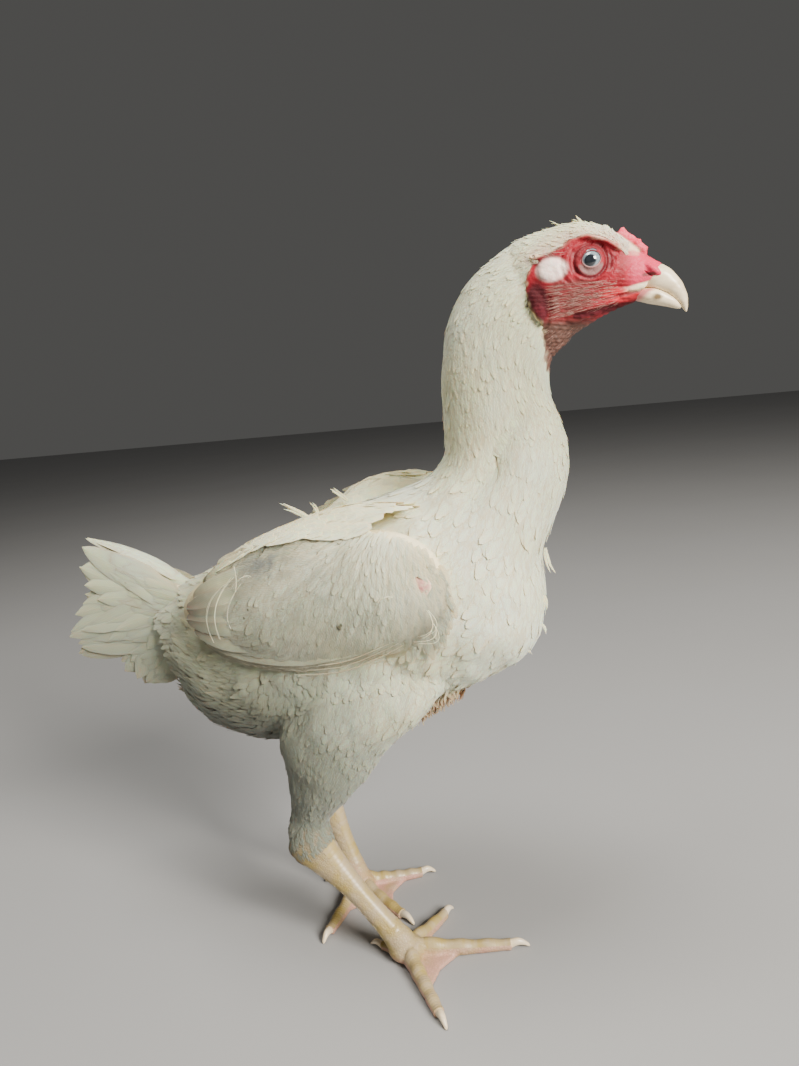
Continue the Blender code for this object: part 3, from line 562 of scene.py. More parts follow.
class Shading:
    """A shader node tree; most calls add a node to it and give back the node's output."""

    def __init__(self, tree):
        self.tree = tree

    def link(self, output, node, socket):
        self.tree.links.new(output, node.inputs[socket])

    def add(self, kind, inputs, **settings):
        """A node with its settings, its inputs linked to sockets or set to values."""
        node = self.tree.nodes.new(kind)
        for name, value in settings.items():
            setattr(node, name, value)
        for name, value in inputs.items():
            if isinstance(value, bpy.types.NodeSocket):
                self.link(value, node, name)
            else:
                node.inputs[name].default_value = value
        return node

    def group(self, name, **inputs):
        return self.add("ShaderNodeGroup", inputs, node_tree=bpy.data.node_groups[name]).outputs

    def math(self, operation, first, second=0.0):
        return self.add("ShaderNodeMath", {0: first, 1: second}, operation=operation).outputs[0]

    def plus(self, first, second):
        return self.math("ADD", first, second)

    def minus(self, first, second):
        return self.math("SUBTRACT", first, second)

    def times(self, first, second):
        return self.math("MULTIPLY", first, second)

    def vector(self, operation, *inputs):
        node = self.add("ShaderNodeVectorMath", dict(enumerate(inputs)), operation=operation)
        return node.outputs["Value" if operation == "LENGTH" else "Vector"]

    def split(self, vector):
        return tuple(self.add("ShaderNodeSeparateXYZ", {0: vector}).outputs)

    def joined(self, x, y, z=0.0):
        return self.add("ShaderNodeCombineXYZ", {0: x, 1: y, 2: z}).outputs[0]

    def mix(self, factor, first, second):
        colours = {0: factor, 6: rgba(first), 7: rgba(second)}
        return self.add("ShaderNodeMix", colours, data_type="RGBA").outputs[2]

    def span(self, value, low, high, to_low=0.0, to_high=1.0):
        """The value mapped from one span of numbers to another."""
        limits = {"From Min": low, "From Max": high, "To Min": to_low, "To Max": to_high}
        return self.add("ShaderNodeMapRange", {"Value": value, **limits}).outputs[0]

    def noise(self, vector, scale, detail=3.0, rough=0.55):
        inputs = {"Vector": vector, "Scale": scale, "Detail": detail, "Roughness": rough}
        return self.add("ShaderNodeTexNoise", inputs).outputs["Fac"]

    def attribute(self, name):
        return self.add("ShaderNodeAttribute", {}, attribute_name=name).outputs["Fac"]

    def place(self):
        return self.add("ShaderNodeTexCoord", {}).outputs["Object"]

    def near(self, place, centre, radii, soft):
        """A soft mask round a point of the working frame, from radii in millimetres."""
        away = self.vector("SUBTRACT", place, tuple(to_row(centre)))
        shares = self.vector("MULTIPLY", away, tuple(1.0 / (r * MM) for r in radii))
        return self.span(self.vector("LENGTH", shares), 1.0 + soft, 1.0 - soft)

    def spot(self, colour, over, place, centre, radii, soft, strength=1.0, grain=None, mirrored=None):
        """Lays a colour over another round a point.

        grain breaks the spot up by a noise: its scale, detail and the limits of its span. mirrored
        is the place to measure from instead, where the spot is on both sides.
        """
        mask = self.near(place if mirrored is None else mirrored, centre, radii, soft)
        if grain:
            mask = self.times(mask, self.span(self.noise(place, *grain[:2]), *grain[2:]))
        if strength < 1.0:
            mask = self.times(mask, strength)
        return self.mix(mask, colour, over)

    def fan(self, place, centre, turns, reach):
        """Coordinates round and away from a point seen from the side, that distance and x from it."""
        away = self.vector("SUBTRACT", place, tuple(to_row(centre)))
        flat = self.vector("MULTIPLY", away, (1.0, 0.0, 1.0))
        far = self.vector("LENGTH", flat)
        x, _, z = self.split(flat)
        turn = self.math("ARCTAN2", z, x)
        return self.joined(self.times(turn, turns), self.times(far, reach)), far, x


class Material(Shading):
    """A Principled material; the plain settings stay on the shader's own sockets."""

    def __init__(self, name, roughness, **plain):
        self.made = bpy.data.materials.new(name)
        self.made.use_nodes = True
        super().__init__(self.made.node_tree)
        self.shader = self.tree.nodes["Principled BSDF"]
        self.shader.inputs["Roughness"].default_value = roughness
        for socket, value in plain.items():
            self.shader.inputs[socket.replace("_", " ")].default_value = value

    def finish(self, colour, height=None, distance=0.0, strength=1.0):
        """Links the colour and a bump of a height in millimetres, and gives back the material."""
        self.link(colour, self.shader, "Base Color")
        if height is not None:
            inputs = {"Height": height, "Distance": distance * MM, "Strength": strength}
            self.link(self.add("ShaderNodeBump", inputs).outputs[0], self.shader, "Normal")
        return self.made


def new_group(name, inputs, outputs):
    """An empty shader node group with named sockets, its given values and its result node."""
    tree = bpy.data.node_groups.new(name, "ShaderNodeTree")
    for in_out, sockets in (("INPUT", inputs), ("OUTPUT", outputs)):
        for socket, kind in sockets.items():
            tree.interface.new_socket(name=socket, in_out=in_out, socket_type="NodeSocket" + kind)
    given = tuple(tree.nodes.new("NodeGroupInput").outputs)[: len(inputs)]
    return Shading(tree), given, tree.nodes.new("NodeGroupOutput")


BLUSH_SPOTS = (
    # centre and radii of the places round the face where skin shows through
    ((-6, 15, 423.5), (15, 8, 4.6)),
    ((10, 11, 418.5), (9, 7, 4.4)),
    ((-26, 17, 417), (9, 7, 4)),
    ((19, 7, 412), (8, 8, 5)),
)
WING_SPECKS = ((-145, 231, 1.3), (-143.6, 232.6, 0.8), (-202.5, 237, 0.6), (-199, 242, 0.6))  # x, z, radius
SHADED_BELLY = (0.06, 0.057, 0.043)
SHADED_NAPE = (0.36, 0.31, 0.20)
FLECK = (0.45, 0.38, 0.27)
WING_PATCH = (0.24, 0.23, 0.19)
WING_SPECK = (0.10, 0.085, 0.05)
WING_REAR_SHADE = (0.10, 0.097, 0.078)
BARE_PINK = (0.70, 0.27, 0.27)


def plumage_group(look):
    """White to cream feathers with painted shade low down, towards the back, under the rear and at the nape,
    with flecks and the skin that shows through.
    """
    tree, (place,), result = new_group("plumage_marks", {"Vector": "Vector"}, {"Color": "Color"})
    x, y, z = tree.split(place)
    cream = tree.span(tree.noise(place, 16.0, 2.0), 0.38, 0.66)
    colour = tree.mix(cream, look.plumage_white, look.plumage_cream)
    # painted shade: the feathers turn grey towards the bottom and the back of the body
    painted_shade_level = tree.plus(z, tree.times(x, 0.45))
    colour = tree.mix(tree.span(painted_shade_level, 0.262, 0.095), colour, look.grey_mottle_and_shade)
    colour = tree.spot(colour, SHADED_BELLY, place, (-225, 0, 148), (62, 120, 46), 0.9, 0.95)
    colour = tree.spot(colour, SHADED_NAPE, place, (-32, 0, 352), (62, 80, 58), 1.0, 0.6)
    flecks = tree.span(tree.noise(place, 240.0, 1.0), 0.70, 0.78)
    where = tree.span(tree.noise(place, 30.0, 1.0), 0.55, 0.7)
    colour = tree.mix(tree.times(flecks, where), colour, FLECK)
    colour = tree.spot(colour, look.keel_skin, place, (-107, 0, 160), (26, 36, 23), 0.3)
    midline = float(SHIFT[1])
    aside = tree.math("ABSOLUTE", tree.minus(y, midline))
    mirrored = tree.joined(x, tree.plus(aside, midline), z)
    grain = (260.0, 2.0, 0.3, 0.7, 0.35, 0.9)
    for centre, radii in BLUSH_SPOTS:
        colour = tree.spot(colour, look.blush, place, centre, radii, 1.0, grain=grain, mirrored=mirrored)
    tree.link(colour, result, "Color")


def barbs_group():
    """Slanting barbs and a quill on the unwrap of each vane."""
    tree, (vane, tint), result = new_group(
        "barbs",
        {"Vector": "Vector", "Tint": "Float"},
        {"Height": "Float", "Shade": "Float", "Quill": "Float"},
    )
    x, y, _ = tree.split(vane)
    across = tree.math("ABSOLUTE", tree.minus(x, 0.5))
    slant = tree.minus(tree.times(y, 100.0), tree.times(across, 14.0))
    slant = tree.plus(slant, tree.times(tree.noise(vane, 22.0, 2.0), 1.2))
    slant = tree.plus(slant, tree.times(tint, 7.0))
    fine = tree.math("SINE", tree.times(slant, 9.0))
    wide = tree.math("SINE", tree.times(slant, 3.1))
    height = tree.plus(tree.times(fine, 0.3), tree.times(wide, 0.35))
    quill = tree.span(across, 0.028, 0.010)
    tree.link(tree.plus(height, quill), result, "Height")
    # Shade: painted shade in the grooves between the barbs and painted light on their ridges
    tree.link(tree.span(height, -0.65, 0.65, -0.5, 0.5), result, "Shade")
    tree.link(quill, result, "Quill")


def grain_group():
    """Small bumps and blotches of bare skin."""
    tree, (place, scale), result = new_group(
        "skin_grain", {"Vector": "Vector", "Scale": "Float"}, {"Height": "Float", "Mottle": "Float"}
    )
    cells = tree.add("ShaderNodeTexVoronoi", {"Vector": place, "Scale": scale}).outputs["Distance"]
    lumps = tree.noise(place, tree.times(scale, 0.35), 3.0, 0.6)
    tree.link(tree.plus(tree.span(cells, 0.0, 0.7, 0.6, 0.0), lumps), result, "Height")
    tree.link(tree.span(lumps, 0.3, 0.7), result, "Mottle")


def wing_marks(tree, look, colour, place, grime):
    """The wing's dirt, painted highlight and painted shade in streaks that fan out from its hump, its spots
    and brown stain, and painted shade over the rear of the wings.
    """
    patches = tree.span(tree.noise(place, 38.0, 4.0, 0.6), 0.34, 0.68)
    clean = tree.near(place, (-102, -60, 272), (30, 70, 30), 0.9)
    dirt = tree.times(tree.span(patches, 0.0, 1.0, 0.45, 1.0), grime)
    dirt = tree.times(dirt, tree.minus(1.0, tree.times(clean, 0.75)))
    colour = tree.mix(dirt, colour, look.grime)
    # painted highlight and painted shade: light and dark streaks fan out from the hump in place of the relief
    # of its small feathers
    fan, far, x = tree.fan(place, (WING_HUMP[0], 0.0, WING_HUMP[1] + 4.0), 7.0, 22.0)
    fan = tree.noise(fan, 2.2, 4.0, 0.65)
    close = tree.span(far, 0.075, 0.012)
    light = tree.times(tree.span(fan, 0.48, 0.66), tree.span(close, 0.0, 1.0, 0.08, 0.80))
    colour = tree.mix(light, colour, look.plumage_white)
    # painted shade: the dark streaks, in dark brown
    dark = tree.times(tree.span(fan, 0.46, 0.30), tree.span(close, 0.0, 1.0, 0.22, 0.50))
    colour = tree.mix(tree.times(dark, tree.span(x, 0.016, 0.004)), colour, look.dark_brown)
    grain = (160.0, 3.0, 0.35, 0.6)
    colour = tree.spot(colour, WING_PATCH, place, (-187, -66, 268), (14, 30, 7), 0.7, grain=grain)
    for x, z, wide in WING_SPECKS:
        colour = tree.spot(colour, WING_SPECK, place, (x, -70, z), (wide, 12, wide * 1.3), 0.4)
    # the brown stain low on the near wing
    grain = (90.0, 3.0, 0.35, 0.6)
    colour = tree.spot(colour, look.dark_brown, place, (-176, -68, 222), (26, 40, 14), 0.6, 0.5, grain)
    # painted shade over the rear of both wings
    return tree.spot(colour, WING_REAR_SHADE, place, (-246, 0, 238), (24, 90, 34), 0.5, 0.9)


def feather_material(look, name="white_feathers", grime=0.0):
    """White feathers with barbs and a quill in each vane; made once, with the wing's dirt and its painted
    light and shade if asked.
    """
    if name in bpy.data.materials:
        return bpy.data.materials[name]
    tree = Material(
        name, 0.72, Sheen_Weight=0.2, Specular_IOR_Level=0.2, Subsurface_Weight=0.35, Subsurface_Scale=0.004
    )
    place = tree.place()
    colour = tree.group("plumage_marks", Vector=place)["Color"]
    tint = tree.attribute("tint")
    vane = tree.add("ShaderNodeUVMap", {}, uv_map="vane").outputs[0]
    barbs = tree.group("barbs", Vector=vane, Tint=tint)
    if grime:
        colour = wing_marks(tree, look, colour, place, grime)
    # painted shade and light of the barbs, plus a random tone for each feather
    barb_shade_and_tone = tree.times(tree.plus(barbs["Shade"], tree.minus(tint, 0.5)), 0.06)
    inputs = {"Value": tree.plus(1.0, barb_shade_and_tone), "Color": colour}
    colour = tree.add("ShaderNodeHueSaturation", inputs).outputs[0]
    return tree.finish(colour, barbs["Height"], 0.14, 0.45)


def down_material(look):
    """The skin under the coat, with the plumage's own marks, the bare spot at the wrist and painted shadow
    under the near wing's lower edge.
    """
    tree = Material("under_down", 0.85, Specular_IOR_Level=0.2)
    place = tree.place()
    colour = tree.group("plumage_marks", Vector=place)["Color"]
    grain = (420.0, 3.0, 0.3, 0.6, 0.35, 1.0)
    colour = tree.spot(colour, BARE_PINK, place, (-97, -71, 253), (5.4, 14, 6.2), 0.7, grain=grain)
    # painted shadow under the lower edge of the near wing, in dark brown
    colour = tree.spot(colour, look.dark_brown, place, (-138, -68, 210), (34, 26, 9), 0.5, 0.85)
    skin = tree.group("skin_grain", Vector=place, Scale=700.0)
    colour = tree.mix(tree.times(skin["Mottle"], 0.25), colour, look.grey_mottle_and_shade)
    return tree.finish(colour, skin["Height"], 0.4, 0.6)


def face_material(look):
    """Bare skin of the head: red face, dark lappets, pale lobes, pink comb and grey lids."""
    tree = Material("bare_face", 0.5, Subsurface_Weight=0.12, Subsurface_Scale=0.002, Specular_IOR_Level=0.28)
    place = tree.place()
    skin = tree.group("skin_grain", Vector=place, Scale=900.0)
    blotch = tree.span(tree.noise(place, 120.0, 4.0, 0.6), 0.35, 0.68)
    colour = tree.mix(blotch, look.face_red, look.face_deep)
    for mark, over in (
        # the marks of mark_skin, in the order in which they cover one another
        ("cheek", look.cheek_pale),
        ("orbit", look.orbit_red),
        ("throat", look.throat_brown),
        ("gape", look.gape_red),
        ("lappet", look.lappet),
        # painted shadow below the lower lid and under the jaw, with a dark line over the eye and a dark spot
        # in the lappet
        ("dark", (0.09, 0.008, 0.014)),
        ("cere", look.cere_pink),
        ("tomium", look.horn),
        ("lobe", tree.mix(skin["Mottle"], look.lobe, (0.88, 0.60, 0.56))),
        ("comb", tree.mix(skin["Mottle"], look.comb, (0.80, 0.14, 0.19))),
        ("lid", look.lid),
        # painted shade in the nostrils, the ears and the crease of the mouth
        ("hollow_shade", (0.20, 0.035, 0.04)),
        ("coated", tree.group("plumage_marks", Vector=place)["Color"]),
    ):
        mask = tree.attribute(mark)
        colour = tree.mix(tree.times(mask, 0.85) if mark == "orbit" else mask, colour, over)
    dull = tree.times(tree.attribute("lappet"), 0.35)
    roughness = tree.plus(tree.span(skin["Mottle"], 0.0, 1.0, 0.42, 0.62), dull)
    tree.link(roughness, tree.shader, "Roughness")
    return tree.finish(colour, skin["Height"], 0.28, 0.55)


def leg_material(look):
    """Ivory-yellow leg skin with small scales, pinker between the toes and at their sides."""
    tree = Material("leg_skin", 0.5, Subsurface_Weight=0.05, Subsurface_Scale=0.002)
    place = tree.place()
    cells = {"Vector": place, "Scale": 620.0}
    cells = tree.add("ShaderNodeTexVoronoi", cells, feature="DISTANCE_TO_EDGE")
    edges = tree.span(cells.outputs["Distance"], 0.02, 0.16)
    colour = tree.mix(tree.span(tree.noise(place, 75.0, 3.0), 0.42, 0.64), look.leg_ivory, look.leg_yellow)
    pink = tree.times(tree.attribute("pink"), tree.span(tree.noise(place, 60.0, 2.0), 0.25, 0.6))
    colour = tree.mix(pink, colour, look.toe_pink)
    colour = tree.mix(tree.attribute("hock"), colour, look.hock_cream)
    colour = tree.mix(tree.span(edges, 1.0, 0.0, 0.0, 0.35), colour, (0.30, 0.20, 0.11))
    return tree.finish(colour, edges, 0.22, 0.7)


def scute_material(look):
    """Horny plates of the legs: ivory and yellow, darker towards each plate's free edge."""
    tree = Material("leg_scutes", 0.38, Coat_Weight=0.15, Coat_Roughness=0.3)
    place = tree.place()
    tint = tree.times(tree.attribute("tint"), 0.12)
    yellow = tree.span(tree.plus(tree.noise(place, 70.0, 2.0), tint), 0.46, 0.72)
    colour = tree.mix(yellow, look.leg_ivory, look.leg_yellow)
    rim = tree.times(tree.span(tree.attribute("rim"), 0.55, 1.0), 0.28)
    colour = tree.mix(rim, colour, (0.42, 0.28, 0.15))
    return tree.finish(colour, tree.noise(place, 1500.0, 3.0), 0.08, 0.5)


def horn_material(name, look, base, bill=False):
    """Ivory horn with fine growth lines along it; the bill has skin at its root and one stain."""
    tree = Material(name, 0.33, Coat_Weight=0.25, Coat_Roughness=0.25)
    place = tree.place()
    streaks = tree.noise(tree.vector("MULTIPLY", place, (0.25, 1.0, 1.0)), 420.0, 4.0, 0.6)
    colour = tree.mix(tree.span(tree.noise(place, 110.0, 2.0), 0.35, 0.65), base, look.horn_warm)
    colour = tree.mix(tree.span(streaks, 0.45, 0.75, 0.0, 0.35), colour, (0.50, 0.36, 0.20))
    if bill:
        steep = 1.37
        x, _, z = tree.split(place)
        edge = to_row((25.5, 0.0, 391.4)) @ np.array((1.0, 0.0, -steep))
        root = tree.span(tree.minus(x, tree.times(z, steep)), edge + 0.002, edge - 0.002)
        colour = tree.mix(tree.times(root, tree.span(z, 0.3955, 0.3945)), colour, (0.60, 0.20, 0.19))
        grain = (900.0, 2.0, 0.25, 0.5, 0.7, 1.0)
        dark_brown = (0.20, 0.13, 0.055)
        colour = tree.spot(colour, dark_brown, place, (31.5, -6.5, 390.2), (2.6, 3.4, 1.9), 0.4, grain=grain)
    return tree.finish(colour, streaks, 0.10, 0.6)


def eye_material(look, side):
    """Grey-blue iris with fine spokes, dark pupil and a wet surface."""
    x, out, z = EYE_CENTRE
    tree = Material("iris_" + side, 0.12, Coat_Weight=1.0, Coat_Roughness=0.02, Specular_IOR_Level=0.6)
    spokes, far, _ = tree.fan(tree.place(), (x, SIDES[side] * out, z), 9.0, 300.0)
    spokes = tree.span(tree.noise(spokes, 2.0, 3.0), 0.3, 0.7)
    colour = tree.mix(spokes, look.iris, look.iris_light)
    colour = tree.mix(tree.span(far, 0.0044, 0.0056), colour, (0.17, 0.20, 0.23))
    colour = tree.mix(tree.span(far, 0.0034, 0.0027), colour, (0.012, 0.016, 0.022))
    return tree.finish(colour)


def lid_material():
    """Dark red margin above the eye, paler and pinker below it."""
    tree = Material("lid_margin", 0.4, Subsurface_Weight=0.1, Subsurface_Scale=0.001)
    place = tree.place()
    level = LID_OPENING[1] * MM + SHIFT[2]
    low = tree.span(tree.split(place)[2], level + 0.001, level - 0.0035)
    colour = tree.mix(low, (0.16, 0.02, 0.026), (0.44, 0.23, 0.22))
    return tree.finish(colour, tree.noise(place, 1800.0, 2.0), 0.1, 0.5)


def plain_material(name, roughness, scale, span, first, second):
    """One colour that drifts into another."""
    tree = Material(name, roughness)
    drift = tree.noise(tree.place(), scale)
    return tree.finish(tree.mix(tree.span(drift, *span) if span else drift, first, second))


# The skin


TRUNK = make_shell(TRUNK_KEYS, 600)


def thigh_shell(side):
    hock, right = LEGS[side]["hock"], LEGS["R"]["hock"]
    rows = []
    for i, (front_x, front_z, rear_x, rear_z, half, out) in enumerate(THIGH_KEYS):
        share = i / (len(THIGH_KEYS) - 1)
        x, z = (hock[0] - right[0]) * share, (hock[1] - right[1]) * share
        rows.append((rear_x + x, rear_z + z, front_x + x, front_z + z, half, 0.9, 0.95, SIDES[side] * out))
    return make_shell(rows, 200)


def wing_rise(side, x):
    """How much higher than the right wing this one is carried at x."""
    return WING_LIFT[side] * ramp(x, -192.0, -150.0)


def wing_shell(side):
    rows = []
    for x, top, low, half, out in WING_KEYS:
        lift = float(wing_rise(side, x))
        rows.append((x, top + lift, x, low + lift, half, 0.9, 0.9, SIDES[side] * out))
    return make_shell(rows, 200)


def shank_course(side):
    """Hock, ankle, the way down the shank and the way to its rear."""
    hock_x, hock_z = LEGS[side]["hock"]
    foot_x, foot_y = LEGS[side]["foot"]
    lean = (foot_x - hock_x) / hock_z
    hock = np.array((hock_x, SIDES[side] * LEG_OUT, hock_z))
    ankle = np.array((foot_x - lean * ANKLE_HEIGHT * 0.6, foot_y, ANKLE_HEIGHT))
    down = unit(ankle - hock)
    rear = unit(np.cross(down, (0.0, 1.0, 0.0)))
    return hock, ankle, down, rear if rear[0] < 0 else -rear


def shank_points(side, share, angle, height=0.0):
    """Points of the shank's surface: angle 0 is its front."""
    hock, ankle, _, rear = shank_course(side)
    keys = smooth_rows(SHANK_KEYS, 120)
    bow, deep, half = (np.interp(share, keys[:, 0], keys[:, i]) for i in (1, 2, 3))
    centre = hock + (ankle - hock) * share[..., None] + rear * bow[..., None]
    reach = (deep + height) * np.cos(angle)
    wide = (half + height) * np.sin(angle)
    return centre - rear * reach[..., None] + np.array((0.0, 1.0, 0.0)) * wide[..., None]


def toe_course(side, toe):
    """Root, tip and unit heading of a toe, on the floor."""
    foot_x, foot_y = LEGS[side]["foot"]
    heading, length = LEGS[side]["toes"][toe]
    along = np.array((math.cos(math.radians(heading)), math.sin(math.radians(heading)), 0.0))
    root = np.array((foot_x, foot_y, 0.0))
    return root, root + along * (length - TOES[toe][0]), along


def toe_half(toe, share):
    """Half thickness of a toe: slimmer to the tip, with a swelling at each pad."""
    size = HIND_TOE_SHARE if toe == "hind" else 1.0
    swell = 1.0 + 0.05 * np.cos(math.tau * (share * TOES[toe][1] - 0.15))
    return TOE_THICKNESS / 2 * (1.0 - TOE_TAPER * share) * swell * size


def toe_points(side, toe, share, angle, height=0.0):
    """Points of a toe's surface: angle 0 is its top."""
    root, tip, along = toe_course(side, toe)
    root = root - along * TOES[toe][2]
    across = np.array((-along[1], along[0], 0.0))
    half = toe_half(toe, share)
    top = np.maximum(0.0, np.cos(angle))
    lift = TOE_ROOT_LIFT * (1.0 - share) ** 3 * top
    z = half - FLOOR_SINK + lift + (half + height) * np.cos(angle)
    middle = root + (tip - root) * share[..., None] + across * ((half + height) * np.sin(angle))[..., None]
    return middle + np.array((0.0, 0.0, 1.0)) * np.maximum(z, 0.0)[..., None]


COAT_GUIDE = {}  # holds the search tree over the bare body once it is made
NECK_CREASE = (
    (-39.5, 353), (-41, 342), (-45, 333), (-52, 324), (-57.5, 316),
    (-62, 306), (-69, 297), (-78, 286), (-95, 283),
)


def settle(points, tree):
    """The nearest points of a surface, its normals there and how far it was."""
    found = [tree.find_nearest(place) for place in to_row(points.reshape(-1, 3)).tolist()]
    spots = to_working([f[0][:] for f in found])
    normals = np.array([f[1][:] for f in found])
    far = np.array([f[3] for f in found]) / MM
    return spots.reshape(points.shape), normals.reshape(points.shape), far.reshape(points.shape[:-1])


def shape_body(body):
    """Sinks the creases of neck and breast into the body and gives it soft lumps."""
    points = read_points(body)
    flat = points[:, [0, 2]]
    side = ramp(np.abs(points[:, 1]), 8.0, 20.0)
    away, share = distance_to_line(flat, NECK_CREASE)
    deep = 1.6 + 3.4 * np.sin(math.pi * np.clip(share, 0.0, 1.0)) ** 1.2
    move = -deep * np.exp(-((away / 8.0) ** 2)) * side
    away, share = distance_to_line(flat, ((-34, 300), (-34, 285), (-39, 256), (-44, 240)))
    move -= 1.6 * np.sin(math.pi * np.clip(share, 0.0, 1.0)) * np.exp(-((away / 4.0) ** 2))
    rough = 0.35 + 0.75 * ramp(points[:, 2], 290.0, 200.0) * ramp(points[:, 0], -30.0, -80.0)
    move += rough * (0.75 * gentle_noise(points, 19.0, 71) + 0.3 * gentle_noise(points, 8.0, 72))
    write_points(body, points + read_normals(body) * move[:, None])


def make_body_core():
    """Trunk, tail stump and thighs under the coat, fused into one smooth body."""
    start = key_run(FIRST_NECK_KEY) - 4.0
    along = np.linspace(start, TRUNK["length"] - 0.5, 130)
    depth = shell_columns(TRUNK, along, (7,))[0]
    parts = [loft("trunk_core", shell_rings(TRUNK, 130, 56, depth, start, TRUNK["length"] - 0.5))]
    parts.append(loft("stump_core", shell_rings(make_shell(STUMP_KEYS), 30, 28, 4.5)))
    for side in SIDES:
        parts.append(loft("thigh_core", shell_rings(thigh_shell(side), 60, 36, 1.1)))
    body = remesh(join("skin", parts), 2.3, 14)
    shape_body(body)
    return body


def make_wing_core(side):
    """The folded wing under its feathers, with a bare spot at the wrist of the right one."""
    parts = [loft("wing_core", shell_rings(wing_shell(side), 70, 40, 1.9))]
    if side == "R":
        x, _, z = BARE_SPOT
        spot = wing_sheet(side, np.array([x]), np.array([z]), np.array([2.3]))[0]
        parts.append(ellipsoid("bare_spot", spot, (5.6, 1.9, 5.0), 0, 24, 14))
    return remesh(join("wing_core", parts), 1.5, 2)


FACE_FOLDS = {
    # centre on the left side, radii, turn about Y in degrees
    "brow": ((1.0, 12.6, 422.0), (15.0, 4.6, 3.6), 22),
    "behind_eye": ((-13.5, 17.0, 412.0), (4.0, 2.6, 7.5), -10),
    "cheek_fold": ((-31.0, 17.2, 392.0), (5.0, 4.4, 10.5), -16),
    "jowl": ((-4.0, 11.5, 388.0), (17.0, 5.0, 5.0), -14),
    "gape_fold": ((7.0, 10.6, 393.2), (10.0, 3.2, 1.7), -7),
    "operculum": ((29.6, 6.3, 404.3), (5.6, 3.0, 2.3), 42),
    "lobe": ((-22.0, 18.0, 410.0), (7.9, 2.9, 5.8), 12),
    "lobe_swelling": ((-24.5, 19.0, 407.6), (4.9, 2.4, 4.0), 0),
    "lids": ((-1.6, 11.9, 411.2), (8.2, 8.4, 7.9), 0),
    "ear_rim": ((-29.5, 17.8, 417.0), (5.2, 1.8, 2.4), 10),
    "eye_rear": ((-13.6, 16.2, 412.5), (2.6, 3.2, 8.0), -4),
}
COMB_LINE = (np.array((12.6, 0.0, 425.4)), np.array((26.6, 0.0, 413.6)))
COMB_UP = np.array((0.60, 0.0, 0.80))
COMB_ROWS = (
    # distance from the midline, lift, radius and number of the bulbs
    (0.0, 3.4, 1.7, 7),
    (2.4, 2.6, 1.4, 6),
    (4.3, 1.0, 1.3, 7),
)
# Lines of the face from the side: points, depth (below zero stands out), half width.
FACE_LINES = (
    (((-15, 418), (-8, 421.8), (0, 421.5), (8, 417.5), (15, 411.5)), 0.9, 0.9),
    (((-12, 423.5), (-3, 425), (6, 422), (14, 416)), -0.7, 1.0),
    (((-13, 406), (-9, 401.5), (-2, 400), (6, 402), (11, 407)), 0.6, 0.9),
    (((-16, 417), (-17.5, 411), (-16, 404), (-11, 399)), 0.7, 0.9),
    (((29, 394.6), (20, 393.6), (12, 392.4), (5, 391.6), (0, 392.4)), 1.5, 0.8),
    (((24, 388.6), (12, 387.6), (3, 386.6), (-5, 385.2), (-12, 384.4)), 1.1, 1.1),
    (((-10, 420.5), (-12.5, 414), (-12, 407)), 0.8, 1.0),
    (((20, 397.5), (10, 396.8), (0, 397.5), (-10, 399)), 0.45, 0.9),
    (((34, 401), (30, 398.6), (24, 397.6), (17, 397.2)), 0.5, 0.8),
    (((24, 411), (18, 405), (16, 399)), 0.4, 1.4),
    (((-25, 399), (-24, 390), (-26, 382), (-30, 376)), 1.2, 1.3),
    (((-31, 368), (-20, 371), (-8, 377), (2, 382)), 0.5, 1.0),
    (((-30, 361), (-20, 364.5), (-10, 370), (-1, 376)), 0.5, 1.0),
)


def orbit_of(flat):
    """Where the sunk, darker skin round the eye lies."""
    edge = ((-11.5, 417.5), (-4, 422), (4.5, 420.6), (11.5, 413), (10, 406), (-2, 403.4), (-12, 405))
    eye = np.hypot(flat[:, 0] + 1.6, flat[:, 1] - 411.2)
    return ramp(distance_inside(flat, edge), -0.4, 2.2) * ramp(eye, 5.8, 7.2)


def make_head_skin():
    """The whole skin of the head, fine enough for its folds, lids, comb, lobes and creases."""
    start = 0.2
    last = key_run(FIRST_NECK_KEY) + 16.0
    along = np.linspace(start, last, 90)
    inset = ramp(along, last - 24.0, last) * 7.0
    parts = [loft("head_core", shell_rings(TRUNK, 90, 72, inset, start, last))]
    for side in SIDES.values():
        for name, ((x, out, z), radii, turn) in FACE_FOLDS.items():
            parts.append(ellipsoid(name, (x, side * out, z), radii, turn))
    comb_base = (COMB_LINE[0] + COMB_LINE[1]) / 2
    parts.append(ellipsoid("comb_base", comb_base, (10.0, 5.2, 3.0), 40))
    rng = np.random.default_rng(7)
    for out, lift, size, count in COMB_ROWS:
        for side in (1.0, -1.0) if out else (1.0,):
            for i in range(count):
                share = (i + 0.5 + rng.uniform(-0.2, 0.2)) / count
                rise = lift * math.sin(math.pi * (0.25 + 0.6 * share)) + rng.uniform(-0.9, 1.0)
                place = COMB_LINE[0] + (COMB_LINE[1] - COMB_LINE[0]) * share + COMB_UP * rise
                radius = size * rng.uniform(0.7, 1.25)
                centre = (place[0], side * out + rng.uniform(-0.5, 0.5), place[2])
                parts.append(ellipsoid("bulb", centre, (radius, radius * 0.85, radius * 1.2), 0, 14, 10))
    head = remesh(join("head_skin", parts), 0.62, 3)
    crease_head(head)
    x, out, z = EYE_CENTRE
    for side in SIDES.values():
        for name, centre, radii, turn, segments, rings in (
            ("opening", (x + 0.6, 21.0, z + 0.7), (5.4, 6.4, 4.6), 0, 40, 24),
            ("socket", (x, out, z), (EYE_RADIUS + 0.12,) * 3, 0, 48, 32),
            ("nostril", (27.6, 9.2, 401.9), (3.3, 2.2, 0.75), 40, 20, 12),
            ("ear", (-31.5, 20.2, 417.6), (1.7, 3.2, 1.2), 20, 20, 12),
        ):
            place = (centre[0], side * centre[1], centre[2])
            combine(head, ellipsoid(name, place, radii, turn, segments, rings), "DIFFERENCE")
    return head


